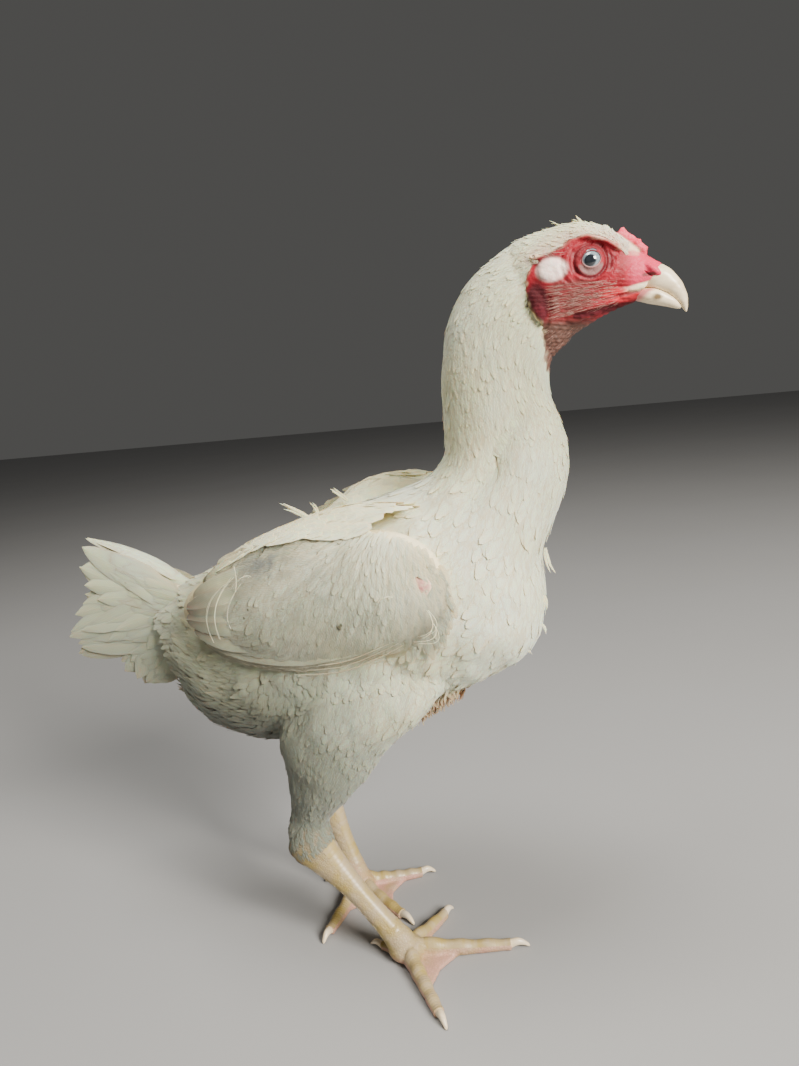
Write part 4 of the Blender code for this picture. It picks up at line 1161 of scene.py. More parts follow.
def crease_head(head):
    """Moves the skin along its normals: sunk under feathers, creased along the face's lines, wrinkled."""
    points = read_points(head)
    normals = read_normals(head)
    flat = points[:, [0, 2]]
    x, y, z = points.T
    inside = distance_inside(flat, FACE_EDGE)
    comb_near, _ = distance_to_line(flat, ((9.5, 427.5), (26.5, 413.3)))
    coated = ramp(inside, 0.5, -2.0) * ramp(comb_near, 3.0, 5.0)
    bare = 1.0 - coated
    move = -1.1 * coated
    sideways = ramp(np.abs(y), 2.0, 6.0)
    for line, depth, wide in FACE_LINES:
        away, share = distance_to_line(flat, line)
        fade = np.sin(np.clip(share, 0.02, 0.98) * math.pi) ** 0.4
        move -= depth * np.exp(-((away / wide) ** 2)) * fade * sideways
    cheek = ramp(inside, 0.0, 3.0) * bare * ramp(z, 405.0, 399.0) * ramp(x, 26.0, 14.0)
    warp = gentle_noise(points, 14.0, 3) * 0.9
    slope = z + 0.12 * x + warp
    move += cheek * 0.20 * np.sin(slope * math.tau / 2.1)
    move += cheek * 0.12 * gentle_noise(points, 2.2, 5)
    throat = ramp(z, 386.0, 376.0) * bare
    move += throat * 0.35 * np.sin((z - 0.62 * x + warp * 2.0) * math.tau / 3.4)
    eye_far = np.hypot(x + 2.0, z - 411.5)
    move -= 1.0 * orbit_of(flat) * ramp(eye_far, 7.2, 9.4) * sideways
    rings = ramp(eye_far, 8.2, 9.6) * ramp(eye_far, 17.0, 11.0) * bare
    move += rings * 0.16 * np.sin(eye_far * math.tau / 1.9 + gentle_noise(points, 9.0, 8))
    move -= 0.8 * np.exp(-(((eye_far - 8.6) / 0.8) ** 2)) * sideways * bare
    move += bare * 0.10 * gentle_noise(points, 1.8, 12)
    write_points(head, points + normals * move[:, None])


def make_leg_skin(side):
    """Shank, toes, webs and ball of the foot, fused into one skin."""
    share, angle = tube_grid(-0.10, 1.0, 60, 40)
    parts = [loft("shank_core", shank_points(side, share, angle))]
    foot_x, foot_y = LEGS[side]["foot"]
    parts.append(ellipsoid("ball", (foot_x, foot_y, 7.2), (11.8, 10.8, 8.2)))
    _, ankle, down, rear = shank_course(side)
    rings = []
    turn = circle(32)[:, None]
    aside = np.array((0, 1, 0))
    for step, deep, half in ((-6.0, 7.6, 7.0), (-1.0, 8.2, 7.5), (6.0, 9.6, 8.6), (11.0, 8.6, 8.0)):
        rings.append(ankle + down * step - rear * deep * np.cos(turn) + aside * half * np.sin(turn))
    parts.append(loft("ankle_core", rings))
    for toe in TOES:
        share, angle = tube_grid(0.0, 1.0, 40, 28)
        parts.append(loft("toe_core", toe_points(side, toe, share, angle)))
    for toe, (reach, notch) in WEBS.items():
        root, _, middle = toe_course(side, "middle")
        beside = toe_course(side, toe)[2]
        between = unit(middle + beside) * reach * notch
        corners = [root, root + middle * reach, root + between, root + beside * reach]
        low = [corner + np.array((0, 0, 0.25)) for corner in corners]
        high = [corner + np.array((0, 0, h)) for corner, h in zip(corners, (5.4, 3.4, 2.6, 3.4))]
        parts.append(loft("web", [low, high]))
    leg = remesh(join("leg_skin", parts), 0.85, 3)
    points = read_points(leg)
    points += read_normals(leg) * (0.12 * gentle_noise(points, 3.0, 21))[:, None]
    points[:, 2] = np.maximum(points[:, 2], 0.0)
    write_points(leg, points)
    return leg


# Lines of the head from the side along which its marks lie.
COMB_FOOT = ((10.5, 428.2), (27.0, 414.0))
JAW_LINE = ((20, 388.3), (12, 387.6), (3, 386.6), (-5, 385.2), (-11, 384.6))
UNDER_JAW = ((9, 386.2), (3, 385.9), (-5, 384.6), (-10, 384.0))
GAPE_LINE = ((22, 392.0), (14, 393.4), (8, 395), (4, 393.6), (12, 390.6), (20, 390))
MOUTH_LINE = FACE_LINES[4][0]
HOLLOWS = (
    # centre and radii of the painted shade in the nostrils and the ears
    ((27.6, 9.0, 401.9), (3.4, 3.0, 1.0)),
    ((-31.5, 20.0, 417.6), (1.9, 3.6, 1.5)),
)


def head_marks(points):
    """How far each point of the skin belongs to each part of the head."""
    flat = points[:, [0, 2]]
    x, y, z = points.T
    aside = np.abs(y)

    def along(line, outer, inner):
        return ramp(distance_to_line(flat, line)[0], outer, inner)

    def oval(centre, radii, outer, inner):
        return ramp(np.hypot((x - centre[0]) / radii[0], (z - centre[1]) / radii[1]), outer, inner)

    start, end = COMB_LINE
    lean = unit(end - start)
    above = (points - start) @ np.array((-lean[2], 0.0, lean[0]))
    comb = along(COMB_FOOT, 4.8, 3.6) * ramp(above, -1.0, 0.2) * ramp(aside, 7.0, 5.6)
    comb *= ramp(x, 11.0, 12.4)
    uneven = 1.1 * gentle_noise(points * np.array((0.35, 1.0, 1.0)), 2.6, 51)
    coated = ramp(distance_inside(flat, FACE_EDGE) + uneven, 1.2, -2.4) * (1.0 - comb)
    lobe = oval((-21.9, 409.4), (7.7, 5.8), 1.25, 0.78) * ramp(aside, 16.5, 18.4)
    eye_far = np.hypot(x + 1.7, (z - 410.8) * 0.95)
    outer = ramp(aside, 12.0, 14.0)
    # rims: a dark line inside the upper lid, and painted shadow below the lower lid
    rims = ramp(np.abs(eye_far - 5.4), 1.2, 0.4) * ramp(z, 411.0, 413.0) * 0.8
    rims = np.maximum(rims, ramp(np.abs(eye_far - 7.3), 1.0, 0.3) * ramp(z, 410.0, 407.5)) * outer
    lappet = oval((-30.5, 393.0), (6.8, 11.5), 1.2, 0.7) * (1.0 - lobe)
    over_ear = oval((-28.0, 415.6), (10.0, 2.4), 1.3, 0.8) * 0.55 * (1.0 - lobe)
    lappet = np.maximum(np.maximum(lappet, over_ear), along(JAW_LINE, 2.4, 0.8) * 0.9)
    # dark: a dark spot low in the lappet, painted shade along the underside of the jaw, and the rims
    dark = np.maximum(oval((-30.0, 388.0), (4.2, 4.6), 1.2, 0.6), 0.8 * along(UNDER_JAW, 1.5, 0.5))
    cheek = ramp(z, 405.0, 401.0) * ramp(z, 384.0, 388.0) * ramp(x, 4.0, -8.0) * ramp(x, -27.0, -20.0)
    bill_edge = ramp(z - 396.7 - 0.17 * np.maximum(x - 16.0, 0.0), 0.5, -0.5)
    # painted shade in the crease of the mouth
    hollow_shade = along(MOUTH_LINE, 0.75, 0.35) * 0.8
    for centre, reach in HOLLOWS:
        far = np.sqrt(sum(((v - c) / r) ** 2 for v, c, r in zip((x, aside, z), centre, reach)))
        hollow_shade = np.maximum(hollow_shade, ramp(far, 1.25, 0.95))
    return {
        "coated": np.where(x + z > 318.0, coated, 1.0),
        "comb": comb,
        "lobe": lobe,
        "lid": ramp(eye_far, 6.7, 6.0) * ramp(z, 411.0, 408.6) * outer,
        "orbit": orbit_of(flat) * ramp(aside, 8.0, 11.0),
        "lappet": lappet,
        "dark": np.maximum(dark, 0.75 * rims),
        "cheek": 0.9 * cheek * (0.8 + 0.2 * gentle_noise(points, 6.0, 31)),
        "tomium": ramp(x, 12.0, 23.0) * bill_edge * ramp(z, 393.6, 394.6),
        "throat": ramp(z + 0.10 * x, 385.0, 378.0),
        "gape": along(GAPE_LINE, 4.0, 1.2) * 0.9,
        "cere": ramp(x, 14.0, 22.0) * ramp(z, 394.0, 398.0),
        "hollow_shade": hollow_shade,
    }


def leg_marks(points):
    """Pink soles and inner sides of the toes, and the pale hock."""
    _, y, z = points.T
    foot = ramp(z, 34.0, 14.0)
    pink = foot * ramp(z, 9.5, 3.0) * 0.9 + foot * ramp(y, 0.0, 12.0) * 0.5
    return {"pink": pink, "hock": ramp(z, 62.0, 84.0)}


def mark_skin(skin):
    """Stores the marks at the skin's points and tells its faces coat, head and leg apart."""
    points = read_points(skin)
    for name, values in {**head_marks(points), **leg_marks(points)}.items():
        keep_value(skin, name, values)
    middles = to_working(read_array(skin.data.polygons, "center"))
    finish = np.zeros(len(middles), np.int32)
    finish[middles[:, 0] + middles[:, 2] > 322.0] = 1
    finish[middles[:, 2] < 100.0] = 2
    skin.data.polygons.foreach_set("material_index", finish)


# Feathers


BODY_STATIONS = np.array((0.0, 0.2, 0.42, 0.62, 0.78, 0.9, 0.97, 1.0))
SMALL_STATIONS = np.array((0.0, 0.3, 0.58, 0.8, 0.94, 1.0))
SOFT_STATIONS = np.array((0.0, 0.16, 0.32, 0.46, 0.58, 0.69, 0.79, 0.87, 0.94, 1.0))
QUILL_STATIONS = np.concatenate((np.linspace(0.0, 0.9, 19), (0.94, 0.97, 0.99, 1.0)))
# Rings of a vane: way across from -1 to 1, and height in thicknesses; upper side first.
NARROW_RING = ((-1.0, 0.0), (0.0, 0.55), (1.0, 0.0), (0.0, -0.45))
BROAD_RING = (
    (-1.0, 0.0), (-0.5, 0.4), (0.0, 0.75), (0.5, 0.4), (1.0, 0.0), (0.5, -0.4), (0.0, -0.3), (-0.5, -0.4),
)
QUILL_RING = (
    (-1.0, 0.0), (-0.5, 0.35), (-0.09, 0.4), (0.0, 1.2), (0.09, 0.4), (0.5, 0.35), (1.0, 0.0),
    (0.5, -0.35), (0.0, -0.9), (-0.5, -0.35),
)


def vane_halves(rng, stations, size, notch, root_width, roundness, point=0.5):
    """Left and right half widths of vanes with uneven edges, from the widest half of each."""
    swell = root_width + (1.0 - root_width) * ramp(stations, 0.0, 0.42)
    profile = swell * np.clip(1.0 - stations**roundness, 0.0, 1.0) ** point + 0.02
    base = profile[None, :] * size[:, None]
    edge = ramp(stations, 0.3, 0.75)[None, :]
    halves = []
    for _ in range(2):
        cut = 1.0 - notch * edge * rng.uniform(0.0, 1.0, base.shape) ** 2
        cut[:, -1] = 1.0
        halves.append(base * cut)
    return halves


def feather_coat(name, spine, hint, halves, thick, camber, bake, rng, material, ring=NARROW_RING):
    """A joined mesh of closed vanes.

    spine holds the points of each vane from root to tip, and hint says roughly which way is out;
    halves are the left and right half widths; bake holds each root's place on the unwrap.
    """
    ahead = unit(np.gradient(spine, axis=1))
    across = unit(np.cross(hint, ahead))
    outward = unit(np.cross(ahead, across))
    count, stations = spine.shape[:2]
    ring = np.array(ring)
    sides = len(ring)
    a = ring[:, 0][None, None, :, None]
    left, right = (half[:, :, None, None] for half in halves)
    half = np.where(a < 0, left, right)
    lift = ring[:, 1][None, None, :, None] * thick - camber * a**2 * half
    points = spine[:, :, None] + across[:, :, None] * a * half + outward[:, :, None] * lift
    index = np.arange(count * stations * sides).reshape(count, stations, sides)
    near, far = index[:, :-1], index[:, 1:]
    quads = np.stack((near, far, np.roll(far, -1, 2), np.roll(near, -1, 2)), -1).reshape(-1, 4)
    made = make_mesh(name, points.reshape(-1, 3), (quads, index[:, 0], index[:, -1, ::-1]))
    steps = np.linalg.norm(np.diff(spine, axis=1), axis=2)
    along = np.concatenate((np.zeros((count, 1)), np.cumsum(steps, axis=1)), axis=1)
    vane = np.empty((count, stations, sides, 2))
    vane[..., 0] = 0.5 + (a * half)[..., 0] / 10.0
    vane[..., 1] = along[:, :, None] / 100.0
    share = along / np.maximum(along[:, -1:], 1e-6)
    patch = np.empty_like(vane)
    patch[..., 0] = bake[:, 0, None, None] + ring[:, 0] * 0.0014
    patch[..., 1] = bake[:, 1, None, None] + (share[:, :, None] - 0.5) * 0.0028
    keep_map(made, "vane", vane)
    keep_map(made, "OFBake", patch)
    keep_value(made, "tint", np.repeat(rng.uniform(0.0, 1.0, count), stations * sides))
    return finish_piece(made, material, angle=70)


COAT_STYLE = {
    "stations": BODY_STATIONS,  # shares of the way from root to tip that have points
    "root_width": 0.5,  # width at the root as a share of the widest
    "roundness": 2.2,  # how full the vane stays towards its tip
    "point": 0.5,  # how pointed the tip is
    "notch": 0.3,  # how ragged the edges are
    "stray": 0.12,  # how far the feathers turn from their row, in radians
    "thick": 0.13,
    "camber": 0.1,
    "loose": 1.0,  # how far the tips of a few stand off
    "hang": 0.0,  # how far the tips of all stand off
    "reach": 3.4,  # how far from the skin a root may be found
    "above": 999.0,  # height over which roots that face down are left out
    "drop": None,  # which roots are left out
    "shrink": None,  # how much smaller feathers are at their places
    "drift": None,  # how far feathers turn at their places
    "clear": None,  # which finished feathers are left out
    "end": None,  # how far along they follow the surface
    "beyond": (-1.0, 0.0, 0.05),  # which way they go past that end
}


def lay_on(points, tree, t, depth, loose):
    """Settles spines on the skin and raises them over one another towards their tips."""
    spine, normals, _ = settle(points, tree)
    normals[:, 1:-1] = normals[:, 1:-1] * 0.5 + (normals[:, :-2] + normals[:, 2:]) * 0.25
    rise = (0.62 * depth[:, None] + 0.35) * (1.0 - (1.0 - t) ** 2.8) - 0.25 + loose[:, None] * t**3
    return spine + unit(normals) * rise[..., None], unit(normals)


def shell_coat(name, shell, rows, rng, material, **style):
    """Feathers rooted in rows along a lofted surface, settled on the skin and lying back along it.

    rows gives for each row: place along, depth, length, width, spacing.
    """
    style = {**COAT_STYLE, **style}
    tree = COAT_GUIDE["skin"]
    stations = style["stations"]
    roots_s, roots_a, sizes = [], [], []
    for number, (s, depth, length, width, spacing) in enumerate(rows):
        back_x, back_z, front_x, front_z, half = shell_columns(shell, s, range(5))
        deep = math.hypot(back_x - front_x, back_z - front_z) / 2
        around = math.pi * (3 * (deep + half) - math.sqrt((3 * deep + half) * (deep + 3 * half)))
        count = max(6, int(around / spacing))
        turn = (np.arange(count) + 0.5 * (number % 2) + rng.uniform(-0.3, 0.3, count)) / count
        roots_a.append(turn * math.tau)
        roots_s.append(np.full(count, s) + rng.uniform(-0.4, 0.4, count) * spacing)
        length = length * rng.uniform(0.84, 1.16, count)
        width = width * rng.uniform(0.85, 1.15, count)
        sizes.append(np.stack((np.full(count, depth), length, width), -1))
    s, a, size = np.concatenate(roots_s), np.concatenate(roots_a), np.concatenate(sizes)
    s = np.clip(s, 0.3, shell["length"] - 0.6)
    spots, facing, near = settle(shell_points(shell, s, a, size[:, 0]), tree)
    keep = near < style["reach"]
    if style["drop"]:
        keep &= ~style["drop"](spots, rng)
    keep &= (facing[:, 2] > -0.25) | (spots[:, 2] < style["above"])
    if style["shrink"]:
        size[:, 1:] *= style["shrink"](spots)[:, None]
    s, a, size, spots = s[keep], a[keep], size[keep], spots[keep]
    count = len(s)
    here = shell_points(shell, s, a, size[:, 0])
    ahead = shell_points(shell, np.minimum(s + 2.0, shell["length"]), a, size[:, 0])
    speed = np.clip(np.linalg.norm(ahead - here, axis=1) / 2.0, 0.55, 1.8)
    lean = rng.normal(0.0, style["stray"], count)
    if style["drift"]:
        lean = lean + style["drift"](spots)
    beside = shell_points(shell, s, a + 0.02, size[:, 0])
    around_step = np.linalg.norm(beside - here, axis=1) / 0.02
    t = stations[None, :]
    reach = size[:, 1:2] * t
    way = lean[:, None] + rng.normal(0.0, 0.12, count)[:, None] * t
    along = s[:, None] + reach * np.cos(way) / speed[:, None]
    over = np.maximum(along - (style["end"] or shell["length"] - 0.4), 0.0)
    turned = a[:, None] + reach * np.sin(way) / np.maximum(around_step, 3.0)[:, None]
    flat = shell_points(shell, along - over, turned, size[:, 0:1] * np.ones_like(t))
    loose = rng.uniform(0.0, 1.0, count) ** 8 * style["loose"] + style["hang"]
    spine, normals = lay_on(flat, tree, t, size[:, 0], loose)
    if style["clear"]:
        kept = ~style["clear"](spine)
        spine, normals, size, a, s, over = (part[kept] for part in (spine, normals, size, a, s, over))
    if style["end"]:
        tail_way = unit(np.array(style["beyond"]) - 0.45 * normals[:, -1])
        spine = spine + tail_way[:, None] * over[..., None] * 0.75
    shape = (style[key] for key in ("notch", "root_width", "roundness", "point"))
    halves = vane_halves(rng, stations, size[:, 2] / 2, *shape)
    bake = np.stack((0.01 + 0.98 * (a / math.tau % 1.0), 0.01 + 0.98 * s / shell["length"]), -1)
    return feather_coat(
        name, spine, normals, halves, style["thick"], style["camber"], bake, rng, material
    )


def coat_rows(first, last, scale=1.0):
    """Rows along the trunk with the coat's depth and feather sizes there."""
    rows, s = [], first
    while s < last:
        depth, length, width, step = (float(v) for v in shell_columns(TRUNK, s, (7, 8, 9, 10)))
        rows.append((s, depth, length, width, width * 0.42))
        s += step * 0.8 * scale
    return rows


def hock_feathers(name, side, rng, material):
    """Short feathers that thin out over the hock."""
    hock, ankle, _, _ = shank_course(side)
    run = float(np.linalg.norm(ankle - hock))
    count = 420
    share = -0.15 + 0.27 * rng.uniform(0.0, 1.0, count) ** 1.3
    angle = rng.uniform(0.0, math.tau, count)
    length = rng.uniform(4.0, 7.0, count) * (1.0 - 1.6 * np.maximum(share, 0.0))
    t = SMALL_STATIONS[None, :]
    along = share[:, None] + length[:, None] * t / run
    turned = angle[:, None] + rng.normal(0.0, 0.12, count)[:, None] * t
    spine = shank_points(side, along, turned, 0.75 * (1.0 - (1.0 - t) ** 2.4) - 0.35)
    inner = shank_points(side, along, turned, -2.0 * np.ones_like(t))
    width = rng.uniform(1.4, 2.4, count) / 2
    halves = vane_halves(rng, SMALL_STATIONS, width, 0.3, 0.6, 2.0)
    bake = np.stack((0.02 + 0.96 * angle / math.tau, np.clip(0.5 + share, 0.05, 0.95)), -1)
    return feather_coat(name, spine, unit(spine - inner), halves, 0.12, 0.1, bake, rng, material)


def wing_columns(x, columns, count=160):
    """Top, bottom, half thickness or distance out of the right wing at x, by column."""
    table = smooth_rows(WING_KEYS, count)[::-1]
    return [np.interp(x, table[:, 0], table[:, i]) for i in columns]


def under_wing(root):
    """Whether points of the trunk lie under a folded wing, well inside its edge."""
    margin = 9.0
    x, y, z = root.T
    hidden = np.zeros(len(root), bool)
    for side, sign in SIDES.items():
        top, low = (edge + wing_rise(side, x) for edge in wing_columns(x, (1, 2), 120))
        span = (x < -87 - margin) & (x > -251 + margin)
        hidden |= span & (z < top - margin) & (z > low + margin) & (y * sign > 37.0)
    return hidden


def wing_sheet(side, x, z, depth):
    """Points on the outer face of the folded wing, sunk by a depth."""
    top, low, half, out = wing_columns(x, (1, 2, 3, 4))
    level = (z - wing_rise(side, x) - low) / (top - low)
    bulge = np.sqrt(np.clip(1.0 - (2.0 * np.clip(level, 0.0, 1.0) - 1.0) ** 2, 0.02, 1.0)) ** 0.9
    return np.stack((x, SIDES[side] * (out + half * bulge - depth), z), -1)


def wing_edges(side, x):
    """The wing's top and bottom edge at x, and how its bottom and top edge slope."""
    table = smooth_rows(WING_KEYS, 160)[::-1]
    top, low = (np.interp(x, table[:, 0], table[:, i]) + wing_rise(side, x) for i in (1, 2))
    slope = np.interp(x, table[:, 0], np.gradient(table[:, 2], table[:, 0]))
    rise = np.interp(x, table[:, 0], np.gradient(table[:, 1], table[:, 0]))
    return top, low, np.clip(slope, -1.2, 0.6), np.clip(rise, -0.6, 0.8)


def wing_lie(side, x, z):
    """Which way the wing's feathers point: down from the hump, along the edges and back at the rear."""
    top, low, slope, rise = wing_edges(side, x)
    dx, dz = x - WING_HUMP[0], z - WING_HUMP[1] - WING_LIFT[side]
    way = unit(np.stack((0.62 * dx - 5.0, dz - 7.0), -1))
    for blend, target_x, target_z in (
        (ramp(x, -186.0, -222.0), -1.0, -0.10),
        (ramp(z - low, 15.0, 3.0) * ramp(x, -100.0, -125.0), -1.0, -slope),
        (ramp(top - z, 10.0, 2.0) * ramp(x, -130.0, -150.0), -1.0, -rise),
    ):
        target = unit(np.stack((np.full_like(x, target_x), np.broadcast_to(target_z, x.shape)), -1))
        way = unit(way * (1.0 - blend[..., None]) + target * blend[..., None])
    return way[..., 0], way[..., 1]


def sheet_feathers(name, side, x, z, size, rng, material, style):
    """Feathers on the wing's outer face that follow its lie."""
    stations = style["stations"]
    count = len(x)
    lean = rng.normal(0.0, style["stray"], count)
    steps = np.diff(stations)
    xs, zs = [x], [z]
    for step in steps:
        dx, dz = wing_lie(side, xs[-1], zs[-1])
        turn_x = dx * np.cos(lean) - dz * np.sin(lean)
        turn_z = dx * np.sin(lean) + dz * np.cos(lean)
        xs.append(xs[-1] + turn_x * size[:, 1] * step)
        zs.append(zs[-1] + turn_z * size[:, 1] * step)
    xs, zs = np.stack(xs, 1), np.stack(zs, 1)
    rise = 1.0 - (1.0 - stations) ** 2.4
    loose = rng.uniform(0.0, 1.0, count) ** 7 * style.get("loose", 1.0)
    depth = size[:, 0:1] * (1.0 - rise[None, :]) + style["base"] - loose[:, None] * stations[None, :] ** 3
    spine = wing_sheet(side, xs, zs, depth)
    hint = (0.0, SIDES[side], 0.0)
    halves = vane_halves(rng, stations, size[:, 2] / 2, style["notch"], 0.5, style["roundness"])
    bake = np.stack((0.01 + 0.98 * (-x - 87.0) / 170.0, 0.01 + 0.98 * (z - 195.0) / 105.0), -1)
    bake = np.clip(bake, 0.0, 1.0)
    return feather_coat(
        name, spine, hint, halves, style["thick"], style["camber"], bake, rng, material
    )


SCAPULAR_LINES = (
    # x, height of their lower edge over the wing, height of their ridge
    (-96, 275, 282), (-106, 281, 288), (-116, 284.5, 291.5), (-126, 283.5, 294), (-138, 281.5, 294.5),
    (-150, 281.5, 292.5), (-167, 281.5, 288.5), (-185, 278, 283), (-205, 270.5, 275.5), (-222, 262.5, 266.5),
    (-240, 252.5, 256.0),
)


def scapular_sheet(side, x, v):
    """Points of the band over the wing's upper edge: v goes from its outer to its inner border."""
    table = np.array(SCAPULAR_LINES)[::-1]
    low, ridge = (np.interp(x, table[:, 0], table[:, i]) for i in (1, 2))
    lift = 0.9 * wing_rise(side, x)
    low, ridge = low + lift, ridge + 0.75 * lift
    if side == "L":
        drop = 2.0 + 2.0 * ramp(x, -160.0, -182.0)
        low, ridge = low - drop, ridge - drop
    bulge = np.sin(np.clip(v / 0.65, -0.1, 1.0) * math.pi / 2)
    z = low + (ridge - low) * bulge - (2.0 + 0.8 * lift) * np.clip((v - 0.65) / 0.35, 0.0, 1.3) ** 1.4
    y = 61.5 - 28.0 * v - 3.0 * ramp(x, -190.0, -215.0) - 6.0 * ramp(x, -212.0, -240.0)
    y = y - 5.0 * ramp(x, -112.0, -100.0)
    return np.stack((x, SIDES[side] * y, z), -1)


def scapular_feathers(name, side, rng, material):
    """Long feathers from the shoulder back, over the upper edge of the folded wing."""
    rows = 10 if side == "R" else 13
    v, x = (part.ravel() for part in grid_of(np.linspace(0.0, 1.0, rows), np.linspace(-104.0, -217.0, 19)))
    x = x + rng.uniform(-3.0, 3.0, len(x))
    v = np.clip(v + rng.uniform(-0.04, 0.04, len(v)), 0.0, 1.0)
    keep = v > 0.34 * ramp(x, -122.0, -106.0)
    x, v = x[keep], v[keep]
    count = len(x)
    length = rng.uniform(17.0, 25.0, count) * (1.0 - 0.35 * ramp(x, -190.0, -215.0))
    t = SOFT_STATIONS[None, :]
    xs = x[:, None] - length[:, None] * t
    vs = v[:, None] + rng.normal(0.0, 0.05, count)[:, None] * t - 0.04 * t
    spine = scapular_sheet(side, xs, vs)
    aside = scapular_sheet(side, xs, vs + 0.03) - scapular_sheet(side, xs, vs - 0.03)
    hint = unit(np.cross(aside, (-SIDES[side], 0.0, 0.0)))
    hint = unit(hint + np.array((0.0, 0.0, 0.15)))
    rise = 0.9 * (1.0 - (1.0 - t) ** 2.4) - 0.7
    rise = rise - 4.2 * ramp(x, -124.0, -106.0)[:, None] * (1.0 - t) ** 1.3
    spine = spine + hint * rise[..., None]
    width = rng.uniform(6.0, 8.5, count) / 2
    halves = vane_halves(rng, SOFT_STATIONS, width, 0.25, 0.55, 2.2, 0.6)
    bake = np.stack((0.02 + 0.96 * (-x - 90.0) / 110.0, 0.05 + 0.9 * v), -1)
    bake = np.clip(bake, 0.01, 0.99)
    return feather_coat(name, spine, hint, halves, 0.2, 0.12, bake, rng, material, BROAD_RING)


def tail_sheet(share, along, sign):
    """Points of one side of the tail's tent: share goes from its lowest feather to its highest."""
    tips = smooth_rows(TAIL_TIPS, 60)
    knots = np.linspace(0.0, 1.0, len(tips))
    tip_x, tip_z = (np.interp(share, knots, tips[:, i]) for i in (0, 1))
    (low_x, low_z), (high_x, high_z) = TAIL_ROOTS
    root_x, root_z = low_x + (high_x - low_x) * share, low_z + (high_z - low_z) * share
    arch = TAIL_ARCH * np.sin(math.pi * np.clip(along, 0, 1)) * (2.0 * share - 1.0)
    x = root_x + (tip_x - root_x) * along
    z = root_z + (tip_z - root_z) * along + arch
    splay = TAIL_RIDGE + TAIL_STUMP_HALF * (1.0 - along) + (1.0 - share) * TAIL_TENT * along
    return np.stack((x, sign * splay, z), -1)


TAIL_TIERS = (
    # lowest and highest share, feathers, start and end along, width, lift, notch
    (-0.02, 0.87, 19, -0.05, 1.0, 27.0, 0.3, 0.1),
    (0.0, 0.87, 19, -0.08, 0.96, 24.0, 0.7, 0.12),
    (0.0, 0.88, 17, -0.10, 0.84, 21.0, 1.1, 0.2),
    (0.02, 0.88, 16, -0.12, 0.70, 18.0, 1.5, 0.3),
    (0.03, 0.89, 16, -0.14, 0.54, 16.0, 2.0, 0.3),
    (0.05, 0.90, 15, -0.16, 0.38, 14.0, 2.5, 0.3),
)


RIDGE_REACHES = (0.97, 0.90, 0.81, 0.71, 0.61, 0.50, 0.39, 0.28)


def tail_vanes(name, rng, material):
    """Broad soft vanes of the tail, in tiers laid over one another, each a little bent and curled."""
    parts = []
    t = SOFT_STATIONS
    for sign in (-1.0, 1.0):
        for lowest, highest, count, first, last, width, lift, notch in TAIL_TIERS:
            share = np.linspace(lowest, highest - (0.10 if sign > 0 else 0.0), count)
            share = share + rng.uniform(-0.5, 0.5, count) * (highest - lowest) / count
            reach = last * rng.uniform(0.90, 1.01, count)
            along = first + (reach[:, None] - first) * t[None, :]
            bow = share[:, None] + rng.normal(0.0, 0.05, count)[:, None] * t[None, :] ** 2
            spine = tail_sheet(np.clip(bow, -0.05, 1.02), along, sign)
            order = np.linspace(0.0, 1.0, count)[:, None]
            out = lift * np.sin(math.pi * np.clip(t * 0.8 + 0.1, 0, 1))[None, :]
            out = out + 1.2 * (1.0 - order) * t[None, :]
            curl = rng.normal(0.0, 0.9, count)[:, None] * t[None, :] ** 3
            spine[..., 1] += sign * (out + curl + rng.uniform(0.0, 0.6, count)[:, None])
            hint = np.zeros_like(spine)
            hint[..., 1] = sign
            hint[..., 2] = 0.15 + rng.normal(0.0, 0.10, count)[:, None]
            size = np.full(count, width / 2) * rng.uniform(0.8, 1.15, count)
            halves = vane_halves(rng, t, size, notch, 0.45, 3.0, 0.75)
            camber = rng.uniform(0.05, 0.18, count)
            place = (0.25 * (1 + sign) + 0.02 + 0.46 * share, np.full(count, 0.1 + 0.8 * (first + lift / 20)))
            parts.append((spine, hint, *halves, camber, np.stack(place, -1)))
        for number, reach in enumerate(RIDGE_REACHES):
            along = -0.12 + (reach + 0.12) * t[None, :]
            spine = tail_sheet(np.full_like(along, 0.985), along, sign)
            spine[..., 1] = sign * (1.0 + 0.15 * number) - 0.6
            spine[..., 2] += 1.2 + 0.1 * number + 3.2 * np.clip(1.0 - along, 0.0, 1.0) ** 0.7
            hint = np.broadcast_to((0.0, 0.35 * sign - 0.15, 0.92), spine.shape)
            size = np.array([7.0]) * rng.uniform(0.9, 1.1)
            halves = vane_halves(rng, t, size, 0.12, 0.5, 3.4, 0.85)
            place = np.array([[0.49 + 0.01 * sign, 0.1 + 0.1 * number]])
            parts.append((spine, hint, *halves, np.array([0.55]), place))
    spine, hint, left, right, camber, bake = (np.concatenate(part) for part in zip(*parts))
    camber, bake = camber[:, None, None, None], np.clip(bake, 0.01, 0.99)
    return feather_coat(
        name, spine, hint, (left, right), 0.25, camber, bake, rng, material, BROAD_RING
    )


